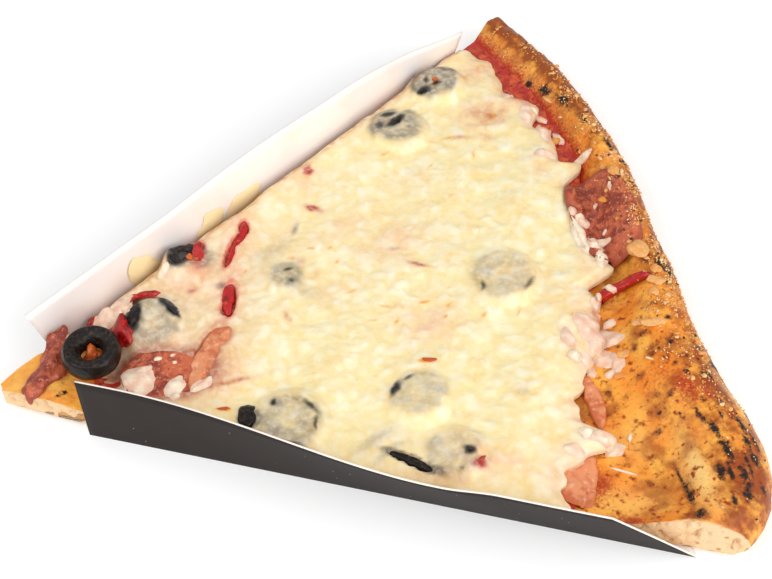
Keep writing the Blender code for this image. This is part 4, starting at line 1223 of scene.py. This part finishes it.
        return top, colour, (1 - smooth(0.2, 0.8, dark)) * (1 + 0.4 * shade)


# The toppings


@dataclass
class Olives:
    """Slices of black olive: rings or parts of rings, with rounded lips and a torn hole."""

    steps: int = 56
    hole: float = 0.42
    lip: float = 0.11
    arc: int = 5
    cup: float = 0.17
    thick: float = 5.0

    def profile(self, facts: OliveFacts) -> list[tuple[float, float]]:
        """Half the cross-section, as distance from the axis and height."""
        radius, height = facts.radius, facts.height
        inner, lip = radius * self.hole, self.lip * radius
        outline = []
        for step in range(9):
            rise = mix(-1, 1, step / 8)
            outline.append((radius * (1 - 0.1 * rise * rise), height * (0.5 + 0.42 * rise)))
        outline.append((radius * 0.9 - lip * 0.55, height * 0.985))
        cup = self.cup if facts.height > self.thick else 0
        for step in range(1, self.arc):
            share = step / self.arc
            outline.append((mix(radius * 0.9 - lip, inner + lip, share), height * (1 - cup * share * share)))
        outline += [(inner + lip * 0.4, height * (0.97 - cup)), (inner, height * (0.86 - cup))]
        outline.append((inner * 0.94, height * 0.5))
        outline += [(inner, height * 0.12), (inner + lip, 0), (radius * 0.9 - lip, 0)]
        return outline

    def slice(self, facts: OliveFacts, seed: float) -> tuple[bmesh.types.BMesh, np.ndarray]:
        """One slice on the plane Z = 0.

        Returns:
            Its mesh, and which of its points are cut flesh.
        """
        mesh = bmesh.new()
        rim = [mesh.verts.new((x, 0, z)) for x, z in self.profile(facts)]
        whole = facts.share >= 1
        if whole:
            start = [mesh.edges.new((rim[i - 1], rim[i])) for i in range(len(rim))]
        else:
            face = mesh.faces.new(rim)
            start = [face, *face.edges, *face.verts]
        bmesh.ops.spin(mesh, geom=start, cent=(0, 0, 0), axis=(0, 0, 1), angle=2 * math.pi * facts.share,
                       steps=round(self.steps * facts.share), use_merge=whole)
        bmesh.ops.remove_doubles(mesh, verts=mesh.verts, dist=0.001)
        bmesh.ops.recalc_face_normals(mesh, faces=mesh.faces)
        places = places_of(mesh)
        out = np.hypot(places[:, 0], places[:, 1])
        flesh = 1 - smooth(facts.radius * 0.84, facts.radius * 0.9, out)
        direction = places * np.array((1, 1, 0)) / np.maximum(out, 0.01)[:, None]
        torn = 1 - smooth(facts.radius * 0.42, facts.radius * 0.62, out)
        places += direction * (torn * 0.9 * rough(places + seed, 2.3, seed))[:, None]
        places += direction * (0.35 * rough(places + seed, 6, seed))[:, None]
        places[:, 2] += 0.3 * rough(places, 3.0, seed + 2) * smooth(0.4, 1, places[:, 2] / facts.height)
        move_to(mesh, places)
        return mesh, flesh

    def build(self, kitchen: Kitchen) -> None:
        """Places every slice in the cheese."""
        finish = OliveFinish().material()
        for number, facts in enumerate(OLIVES):
            mesh, flesh = self.slice(facts, 1.7 * number)
            heading = math.radians(facts.heading)
            lean = Matrix.Rotation(math.radians(facts.tilt), 4, (-math.sin(heading), math.cos(heading), 0))
            seat = Matrix.Translation((*facts.place, facts.seat)) @ lean @ Matrix.Rotation(heading, 4, "Z")
            bmesh.ops.transform(mesh, matrix=seat, verts=mesh.verts)
            kitchen.serve(f"{facts.name}_slice", mesh, [finish], "olive", [facts.name], {"flesh": flesh})

    def build_tip(self, kitchen: Kitchen) -> None:
        """Stands the thick slice on the tip, where its solid stands."""
        mesh, flesh = self.slice(TIP_OLIVE, 31.0)
        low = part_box("olive_on_tip")[0] / MM - kitchen.apex
        bmesh.ops.translate(mesh, verts=mesh.verts, vec=(*TIP_OLIVE.place, low.z))
        kitchen.serve("olive_on_tip_slice", mesh, [OliveFinish().material()], "olive", ["olive_on_tip"], {"flesh": flesh})


@dataclass(frozen=True)
class Slab:
    """A thin piece draped over the food.

    Size is its half length, half width and thickness. Bend bows its middle line sideways, roundness runs
    from an oblong at 0 to an oval at 1, curl lifts its long edges, lift its far end, wave is how uneven
    its outline is, fold is the height of a crease along its middle, and sunk is how deep it lies in the
    cheese. A slab that isn't sunk lies on what is there.
    """

    name: str
    place: tuple
    size: tuple
    turn: float
    bend: float = 0.0
    roundness: float = 1.0
    curl: float = 0.0
    lift: float = 0.0
    wave: float = 0.35
    fold: float = 0.0
    sunk: float | None = None


@dataclass
class Draped:
    """Thin toppings of one kind, laid one after another on what is there."""

    slot: str
    finish: bpy.types.Material
    slabs: Sequence[Slab]
    rows: tuple = (40, 22, 3)
    gap: float = 0.15
    ending: str = "piece"

    def lay(self, kitchen: Kitchen, slab: Slab, seed: float) -> None:
        """Drapes one slab and serves it in place of its solid."""
        mesh = block(*self.rows, lined=True)
        u, v, w = places_of(mesh).T
        a, b = 2 * u - 1, 2 * v - 1
        half_length, half_width, thickness = slab.size
        along = a * np.sqrt(1 - slab.roundness * b * b / 2)
        across = b * np.sqrt(1 - slab.roundness * a * a / 2)
        rim = mix(np.maximum(np.abs(a), np.abs(b)), np.hypot(along, across), slab.roundness)
        turn = math.radians(slab.turn)
        flat = np.stack([along * half_length, across * half_width, 0 * a], axis=-1)
        grow = 1 + slab.wave * rim * (0.35 * rough(flat + seed, 4.5, seed) + 0.2 * rough(flat + seed, 1.8, seed)) * 2 / max(1, half_width / 3)
        flat *= np.stack([1 + 0.35 * (grow - 1), grow, grow], axis=-1)
        flat[:, 1] += slab.bend * (1 - along * along)
        x = slab.place[0] + flat[:, 0] * math.cos(turn) - flat[:, 1] * math.sin(turn)
        y = slab.place[1] + flat[:, 0] * math.sin(turn) + flat[:, 1] * math.cos(turn)
        if slab.sunk is None:
            ground = kitchen.heights(x, y, reach=1.2)
        else:
            ground = FORM.cheese_height(x, y) - slab.sunk
        body = thickness * (1 - 0.6 * rim**6) * (1 + 0.25 * rough(np.stack([x, y, 0 * x], axis=-1), 3, seed))
        raised = self.gap + slab.curl * b * b + slab.lift * smooth(0.2, 1, a) + slab.fold * np.exp(-((b / 0.4) ** 2))
        places = np.stack([x, y, ground + raised + body * w], axis=-1)
        move_to(mesh, places)
        paint = {"rim": smooth(0.86, 1.0, rim) * 0.8, "flesh": 1 - smooth(0.6, 0.95, rim)}
        kitchen.serve(f"{slab.name}_{self.ending}", mesh, [self.finish], self.slot, [slab.name], paint)

    def build(self, kitchen: Kitchen) -> None:
        """Lays every slab."""
        for number, slab in enumerate(self.slabs):
            self.lay(kitchen, slab, 3.1 * number + 1)


SALAMI_SLABS = (
    Slab("salami_by_crust", (179.0, 9.5), (17.0, 9.3, 1.5), 84, roundness=0.6, wave=0.2),
    Slab("salami_near_tip", (44.5, -10.5), (12.0, 9.0, 1.5), -18, wave=0.5, sunk=0.7),
    Slab("salami_strip_on_tip", (14.0, 3.5), (11.6, 3.8, 1.4), 54, bend=-1.6, lift=5, wave=0.6, fold=0.9),
)
HAM_ON_CRUST = (
    Slab("ham_by_crust", (152.0, -48.8), (9.0, 2.4, 1.2), -95, bend=0.8, wave=0.25),
    Slab("ham_front_corner", (139.6, -69.6), (9.2, 5.4, 0.8), 66, roundness=0.7, wave=0.5),
)
HAM_SLABS = (Slab("ham_near_tip", (57.2, -9.2), (11.2, 4.6, 1.2), 54, roundness=0.75, curl=0.3, wave=0.3, fold=0.4, sunk=0.2),)
PEPPER_SLABS = (
    Slab("pepper_middle", (66.8, 10.2), (6.0, 1.9, 1.8), 74, bend=0.6, roundness=0.6, wave=0.6, sunk=0.9),
    Slab("pepper_back_curved", (72.9, 29.7), (9.6, 1.5, 1.8), 60, bend=-0.7, roundness=0.6, wave=0.6, sunk=0.9),
    Slab("pepper_back_short", (61.4, 28.8), (4.8, 1.7, 1.8), 78, bend=0.2, roundness=0.6, wave=0.6, sunk=0.2),
)
PEPPER_ON_TOP = (
    Slab("pepper_by_crust", (173.3, -19.2), (8.2, 1.8, 1.9), 4, bend=4.2, roundness=0.5, wave=0.15),
    Slab("pepper_on_tip", (32.6, 9.4), (9.0, 3.0, 1.8), -62, bend=1.2, roundness=0.7, wave=0.9),
    Slab("pepper_by_olive", (43.2, 16.2), (5.0, 2.4, 1.8), -15, bend=0.4, roundness=0.6, wave=0.7),
)
OLIVE_SLABS = (
    Slab("olive_front_slit", (99.6, -56.0), (7.0, 1.3, 1.6), -43, roundness=0.6, wave=0.3, sunk=1.0),
    Slab("olive_wall_bit", (62.6, -31.4), (3.1, 2.5, 1.8), -25, roundness=0.7, wave=1.7, sunk=0.4),
)


@dataclass
class Scatter:
    """Many small closed shapes of one kind, joined into one piece."""

    name: str
    slot: str
    finish: bpy.types.Material
    seed: int
    mesh: bmesh.types.BMesh = field(default_factory=bmesh.new)
    tints: list = field(default_factory=list)
    blob_rows: tuple = (22, 18, 2)

    def __post_init__(self) -> None:
        """Seeds the dice."""
        self.dice = np.random.default_rng(self.seed)

    def lump(self, kitchen: Kitchen, x: float, y: float, size: tuple, turn: float, tint: float, detail: int = 1,
             sink: float = 0.25, uneven: float = 0.25) -> None:
        """Adds one uneven rounded lump that lies on what is there.

        Args:
            kitchen: Knows the ground.
            x: Plan place from the apex.
            y: Plan place from the middle line.
            size: Half length, half width and half height.
            turn: Heading of its length.
            tint: Its own tint.
            detail: Subdivisions of the ball that it is made from.
            sink: Share of its height that is pressed into the ground.
            uneven: How far it leaves a smooth shape.
        """
        ball = bmesh.new()
        bmesh.ops.create_icosphere(ball, subdivisions=detail, radius=1)
        places = places_of(ball)
        shape = 1 + uneven * rough(places, 0.9, float(self.dice.uniform(0, 50)))
        places = places * shape[:, None] * np.array(size)
        move_to(ball, places)
        low = kitchen.height(x, y, reach=min(size[0], size[1]) * 0.6)
        place = Matrix.Translation((x, y, low + size[2] * (1 - 2 * sink))) @ Matrix.Rotation(math.radians(turn), 4, "Z")
        bmesh.ops.transform(ball, matrix=place, verts=ball.verts)
        self.tints += [tint] * join(self.mesh, ball)

    def dollop(
        self, kitchen: Kitchen, x: float, y: float, size: tuple, turn: float, tint: float, boxy: float = 1.1
    ) -> None:
        """Adds one soft flat lump that has melted onto what is there.

        Args:
            kitchen: Knows the ground.
            x: Plan place from the apex.
            y: Plan place from the middle line.
            size: Half length, half width and height.
            turn: Heading of its length.
            tint: Its own tint, which fades at its rim.
            boxy: How soon its top falls away. A smaller number gives steeper sides.
        """
        blob = block(*self.blob_rows, lined=True)
        u, v, w = places_of(blob).T
        a, b = 2 * u - 1, 2 * v - 1
        flat = np.stack([a * np.sqrt(1 - b * b / 2), b * np.sqrt(1 - a * a / 2), 0 * a], axis=-1)
        seed = float(self.dice.uniform(0, 50))
        rim = np.clip(np.hypot(flat[:, 0], flat[:, 1]), 0, 1)
        spread = 1 + rim * (0.4 * rough(flat, 1.1, seed) + 0.12 * rough(flat, 0.4, seed))
        flat *= spread[:, None] * np.array((size[0], size[1], 0))
        angle = math.radians(turn)
        px = x + flat[:, 0] * math.cos(angle) - flat[:, 1] * math.sin(angle)
        py = y + flat[:, 0] * math.sin(angle) + flat[:, 1] * math.cos(angle)
        lumps = rough(np.stack([px, py, 0 * px], axis=-1), 2.0, seed)
        rise = size[2] * (1 - rim**2) ** boxy * (1 + 0.5 * lumps) + 0.05
        places = np.stack([px, py, kitchen.heights(px, py) - 0.3 + (rise + 0.2) * w], axis=-1)
        move_to(blob, places)
        count = join(self.mesh, blob)
        self.tints += np.clip(0.7 * tint * (1 - 0.8 * rim**3) + 0.25 * lumps, 0, 1).tolist()[:count]

    def serve(self, kitchen: Kitchen, ground: bool = False) -> None:
        """Serves the joined shapes as one piece."""
        paint = {"tint": np.array(self.tints)}
        kitchen.serve(self.name, self.mesh, [self.finish], self.slot, paint=paint, ground=ground)


@dataclass
class CheeseBits:
    """Shreds and lumps of cheese that kept their shape, mostly where the topping meets the crust."""

    chunks: tuple = (
        (35.8, -11.0, 6.6, 4.6, 0.9, 15, 0.4), (38.5, -8.2, 3.4, 1.8, 0.9, 10, 0.7),
        (46.0, -15.6, 3.7, 2.6, 0.9, 40, 0.8), (45.4, -18.6, 1.8, 1.4, 0.6, 80, 0.6),
        (43.6, -5.1, 1.2, 0.9, 0.5, 0, 0.8), (47.5, -4.8, 0.8, 0.6, 0.4, 0, 0.7), (47.6, -7.4, 0.7, 0.6, 0.4, 0, 0.8),
        (34.6, 15.2, 6.6, 4.4, 2.2, 20, 0.35), (38.8, 17.2, 3.2, 2.2, 1.2, 0, 0.5), (31.0, 12.6, 2.6, 1.6, 0.7, 60, 0.0),
        (50.5, 25.2, 2.3, 2.0, 1.7, 30, 0.95), (21.6, 8.6, 1.9, 0.9, 0.6, 60, 0.7),
        (52.6, -17.8, 3.4, 1.8, 0.6, 10, 0.4),
        (151.6, -36.5, 2.2, 2.0, 1.4, 70, 0.9), (145.4, -60.6, 2.1, 1.9, 1.4, 0, 0.95), (149.8, -63.4, 5.4, 2.6, 1.0, -28, 0.5),
        (160.0, -29.0, 5.6, 4.0, 0.9, -60, 0.1), (164.4, -30.4, 4.6, 3.4, 1.0, -30, 0.3),
        (160.4, -36.4, 4.6, 3.0, 0.9, -60, 0.2), (155.0, -38.4, 3.6, 2.0, 0.5, -80, 0.1),
        (173.1, 10.1, 2.7, 2.3, 1.5, 30, 0.8), (171.0, 13.4, 1.8, 1.2, 0.8, 70, 0.4), (172.6, -0.4, 3.0, 2.4, 1.3, -30, 0.5),
        (176.2, 50.0, 5.0, 2.0, 0.9, 78, 0.45), (173.6, 58.6, 4.6, 2.6, 0.8, 70, 0.35),
        (172.2, 38.6, 4.4, 2.0, 0.9, -12, 0.4), (171.4, 69.0, 3.4, 2.0, 0.7, 50, 0.35),
        (169.8, 4.4, 8.0, 2.0, 0.9, 86, 1.4), (172.4, -6.0, 4.4, 2.0, 0.8, 64, 1.4), (165.0, -19.5, 2.4, 1.5, 0.8, 60, 0.3), (140.6, -64.6, 3.2, 2.0, 0.7, -40, 0.4), (152.0, -30.0, 3.6, 1.8, 0.7, 80, 0.3),
    )
    sticks: tuple = (
        (174.7, 1.8, 3.4, 1.6, 1.4, -14, 0.85), (178.0, 4.6, 1.0, 0.6, 0.5, 50, 0.5), (179.6, 15.6, 1.2, 0.6, 0.5, 60, 0.5),
        (171.4, -14.4, 2.4, 1.3, 1.0, 110, 0.7),
        (183.4, 35.2, 2.8, 1.2, 0.9, -10, 0.8), (180.4, 47.6, 3.0, 1.2, 0.9, -80, 0.45), (178.0, 58.0, 3.2, 1.3, 0.9, -50, 0.4),
        (163.4, -39.8, 3.4, 2.0, 1.1, 75, 0.4), (160.6, -42.0, 2.0, 1.2, 0.8, 20, 0.2), (166.8, -25.8, 2.4, 1.3, 0.9, 20, 0.5),
        (151.6, -71.6, 3.4, 0.4, 0.4, -35, 0.7), (157.4, -62.4, 1.4, 0.6, 0.5, 60, 0.8), (184.2, 17.4, 1.6, 0.5, 0.5, 70, 0.9),
    )
    box: float = 0.4

    def build(self, kitchen: Kitchen) -> None:
        """Lays the soft lumps and the firmer shreds."""
        scatter = Scatter("cheese_shreds_loose", "cheese", CheeseFinish().shreds(), 11)
        for x, y, length, width, height, turn, tint in self.chunks:
            scatter.dollop(kitchen, x, y, (length, width, height), turn, tint)
        for x, y, length, width, height, turn, tint in self.sticks:
            scatter.dollop(kitchen, x, y, (length, width, height), turn, tint, self.box)
        scatter.serve(kitchen, ground=True)


@dataclass
class RoastedBits:
    """Small soft bits of roasted pepper, and two orange lumps that fill the hole of the olive on the tip."""

    bits: tuple = (
        (26.9, 0.4, 3.0, 2.5, 5.4, 20, 0.1), (28.4, -0.6, 1.4, 1.2, 4.4, 60, 0.4), (58.8, 26.4, 1.0, 0.9, 0.7, 0, 0.0),
        (60.4, 25.6, 0.7, 0.6, 0.5, 0, 0.3), (113.2, -26.8, 1.9, 0.6, 0.3, -20, 0.4), (57.0, -26.6, 1.5, 0.5, 0.25, -10, 0.3),
        (149.8, 79.0, 0.9, 0.8, 0.6, 0, 0.0), (116.0, -61.6, 1.2, 0.5, 0.4, 20, 0.9),
    )

    def build(self, kitchen: Kitchen) -> None:
        """Drops each bit onto what is there."""
        scatter = Scatter("roasted_bits", "pepper", ROASTED.material(), 41)
        for x, y, length, width, height, turn, tint in self.bits:
            scatter.lump(kitchen, x, y, (length, width, height), turn, tint, detail=3, sink=0.3, uneven=0.6)
        scatter.serve(kitchen)


@dataclass
class Crumbs:
    """Toasted grains of cheese and meal on the crust, and dark flecks."""

    grains: int = 2200
    flakes: int = 60
    flecks: int = 50
    big: tuple = (
        (181.8, -9.0, 3.2, 3.0, 1.5, 90, 0.75), (187.2, 21.7, 2.2, 1.6, 0.5, 60, 0.85), (175.4, -34.2, 4.0, 1.3, 0.5, -12, 0.7),
        (165.5, -38.6, 1.4, 1.9, 0.6, 80, 0.8), (162.2, -44.4, 2.2, 0.8, 0.4, 0, 0.95), (182.1, -21.0, 1.6, 2.6, 0.6, 60, 0.75),
        (181.1, 14.3, 1.3, 1.2, 0.5, 0, 1.2), (179.6, -24.6, 1.2, 1.6, 0.6, 0, 0.8), (183.6, -17.4, 1.4, 1.5, 0.7, 0, 0.85),
        (186.6, -14.4, 0.5, 0.5, 0.4, 0, 0.0), (172.3, -31.6, 1.6, 1.2, 0.6, 0, 0.7), (182.5, 62.5, 1.9, 0.8, 0.5, 110, 0.7),
        (179.0, 46.0, 1.6, 1.3, 0.7, 30, 0.9), (186.0, 26.0, 1.2, 0.9, 0.5, 0, 0.8),
    )

    def on_crust(self, dice: np.random.Generator, inner: float, outer: float) -> tuple[float, float, float]:
        """A random place on the crust, thicker towards its crest and thinner towards the front cut.

        Returns:
            Its plan place and its angle.
        """
        while True:
            angle = float(np.clip(dice.normal(0, 15), -29, 29))
            share = dice.uniform(outer, inner)
            keep = 1 if angle > -13 else math.exp((angle + 13) / 7) + 0.12
            thick = math.exp(-(((share - 0.22) / 0.3) ** 2))
            at = np.array(angle)
            radius = FORM.crust_reach(at) - share * FORM.rim_width(at)
            x, y, _ = polar(radius, at)
            patch = 0.5 + 1.6 * noise.noise((x / 6, y / 6, 3.0))
            if dice.uniform() < keep * thick * patch:
                return float(x), float(y), angle

    def build(self, kitchen: Kitchen) -> None:
        """Sprinkles everything, seeded."""
        grains = Scatter("toasted_grains", "cheese", GRAINS.material(), 21)
        dice = grains.dice
        for x, y, length, width, height, turn, tint in self.big:
            grains.lump(kitchen, x, y, (length, width, height), turn, tint, detail=3, sink=0.2, uneven=0.5)
        for _ in range(self.flakes):
            x, y, _ = self.on_crust(dice, 1.0, 0.05)
            size = (dice.uniform(0.5, 1.1), dice.uniform(0.4, 0.7), dice.uniform(0.2, 0.4))
            grains.lump(kitchen, x, y, size, dice.uniform(0, 180), dice.uniform(0.2, 1.0), detail=2, sink=0.25, uneven=0.6)
        for _ in range(self.grains):
            x, y, _ = self.on_crust(dice, 0.85, -0.0)
            size = dice.uniform(0.1, 0.27)
            shape = (size * dice.uniform(0.9, 2.2), size, size * dice.uniform(0.4, 0.9))
            tint = 1.2 - dice.uniform(0, 1) ** 2 * 1.4
            grains.lump(kitchen, x, y, shape, dice.uniform(0, 180), tint, detail=1, sink=0.3, uneven=0.6)
        grains.serve(kitchen)
        flecks = Scatter("dark_flecks", "dough", FLECKS.material(), 22)
        dice = flecks.dice
        for _ in range(self.flecks):
            x, y, _ = self.on_crust(dice, 1.0, 0.05)
            size = dice.uniform(0.2, 0.5)
            flecks.lump(kitchen, x, y, (size * 1.3, size, size * 0.5), dice.uniform(0, 180), dice.uniform(0, 1), detail=1)
        flecks.serve(kitchen)


@dataclass
class WallSmears:
    """Thin cheese that stuck to the inside of the back wall of the tray.

    Each smear is a run along the back cut, a height, its half length and its half height.
    """

    smears: tuple = ((55.2, 9.0, 5.4, 7.5, -0.35), (79.8, 8.2, 4.8, 5.4, 0.2), (93.4, 7.8, 6.8, 4.2, 0.25))
    off_wall: float = 0.75

    def build(self, kitchen: Kitchen) -> None:
        """Presses each smear flat against the wall."""
        tray = CardTray()
        scatter = Scatter("cheese_smears_on_wall", "cheese", SMEARS.material(), 31)
        for number, (run, rise, length, height, skew) in enumerate(self.smears):
            ball = bmesh.new()
            bmesh.ops.create_icosphere(ball, subdivisions=4, radius=1)
            places = places_of(ball)
            ragged = 1 + 0.5 * rough(places, 0.8, 3.0 * number)
            runs = run + places[:, 0] * length * ragged + skew * places[:, 2] * height
            rises = rise + places[:, 2] * height * ragged
            foot = tray.fold_point(Side.BACK, runs)
            lean = np.radians(tray.lean(Side.BACK, runs))[:, None]
            up = FORM.outward(Side.BACK) * np.sin(lean) + np.array((0, 0, 1)) * np.cos(lean)
            out = FORM.outward(Side.BACK) * (places[:, 1] * 0.35 - self.off_wall)[:, None]
            move_to(ball, foot + up * rises[:, None] + out)
            scatter.tints += [0.75] * join(scatter.mesh, ball)
        scatter.serve(kitchen)


# The studio


@dataclass
class Studio:
    """A pale floor, soft lights, and the camera."""

    target: tuple = (112.34, 9.85, 0.0)
    distance: float = 391.25
    azimuth: float = -16.866
    elevation: float = 50.0
    lens: float = 62.22
    floor_size: float = 4.0
    floor: tuple = (0.9, 0.9, 0.9)
    glow: float = 0.2
    world: float = 0.6

    def light(self, name: str, watts: float, size: float, azimuth: float, elevation: float, far: float = 0.9) -> None:
        """Adds a square soft light that looks at the slice from a direction."""
        lamp = bpy.data.lights.new(name, "AREA")
        lamp.energy = watts
        lamp.size = size
        made = bpy.data.objects.new(name, lamp)
        direction = self.direction(azimuth, elevation)
        made.location = direction * far
        made.rotation_euler = direction.to_track_quat("Z", "Y").to_euler()
        bpy.context.scene.collection.objects.link(made)

    @staticmethod
    def direction(azimuth: float, elevation: float) -> Vector:
        """From the slice towards a viewer at this azimuth and elevation."""
        turn, rise = math.radians(azimuth), math.radians(elevation)
        return Vector((math.sin(turn) * math.cos(rise), -math.cos(turn) * math.cos(rise), math.sin(rise)))

    def build(self, kitchen: Kitchen) -> None:
        """Makes the floor, the world, the lights and the camera."""
        mesh = bmesh.new()
        bmesh.ops.create_grid(mesh, x_segments=1, y_segments=1, size=self.floor_size / 2)
        data = bpy.data.meshes.new("studio_floor")
        mesh.to_mesh(data)
        mesh.free()
        floor = bpy.data.objects.new("studio_floor", data)
        mixture = Mixture("studio_floor")
        mixture.finish(Base_Color=self.floor, Roughness=0.9, Emission_Color=(1, 1, 1), Emission_Strength=self.glow)
        data.materials.append(mixture.material)
        bpy.context.scene.collection.objects.link(floor)
        world = bpy.data.worlds.new("studio")
        world.use_nodes = True
        background = world.node_tree.nodes["Background"]
        background.inputs["Color"].default_value = (1, 1, 1, 1)
        background.inputs["Strength"].default_value = self.world
        bpy.context.scene.world = world
        self.light("key", 2.7, 0.6, -70, 45)
        self.light("fill", 1.8, 0.8, 55, 40)
        self.light("front", 4.6, 1.0, 24, 24)
        camera = bpy.data.objects.new("camera", bpy.data.cameras.new("camera"))
        camera.data.lens = self.lens
        camera.data.clip_start = 0.01
        direction = self.direction(self.azimuth, self.elevation)
        target = (Vector(self.target) + kitchen.apex) * MM
        camera.location = target + direction * self.distance * MM
        camera.rotation_euler = direction.to_track_quat("Z", "Y").to_euler()
        bpy.context.scene.collection.objects.link(camera)
        bpy.context.scene.camera = camera
        bpy.context.scene.view_settings.view_transform = "Standard"


def apex_of_slice() -> Vector:
    """The place of the apex in the frame, in millimetres, found from the olive on the tip."""
    low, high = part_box("olive_on_tip")
    middle = (low + high) / 2 / MM
    return Vector((middle.x - TIP_OLIVE.place[0], middle.y - TIP_OLIVE.place[1], 0))


def main() -> None:
    """Builds every piece in order, from the tray upwards."""
    logging.basicConfig(level=logging.INFO, format="%(message)s")
    kitchen = Kitchen(apex_of_slice())
    Studio().build(kitchen)
    CardTray().build(kitchen)
    BakedDough().build(kitchen)
    TomatoSauce().build(kitchen)
    ham = HAM.material()
    Draped("ham", ham, HAM_ON_CRUST, ending="sheet").build(kitchen)
    MoltenCheese().build(kitchen)
    olives = Olives()
    olives.build(kitchen)
    pepper = PepperFinish().material()
    Draped("salami", SALAMI.material(), SALAMI_SLABS, ending="sheet").build(kitchen)
    Draped("ham", ham, HAM_SLABS, ending="sheet").build(kitchen)
    Draped("pepper", pepper, PEPPER_SLABS, (30, 12, 3), ending="strip").build(kitchen)
    Draped("olive", OliveFinish().material(), OLIVE_SLABS, (24, 12, 3), ending="sliver").build(kitchen)
    Draped("pepper", pepper, PEPPER_ON_TOP, (30, 12, 3), ending="strip").build(kitchen)
    olives.build_tip(kitchen)
    CheeseBits().build(kitchen)
    RoastedBits().build(kitchen)
    Crumbs().build(kitchen)
    WallSmears().build(kitchen)
    LOG.info("%d pieces served", kitchen.served)


if __name__ == "__main__":
    main()
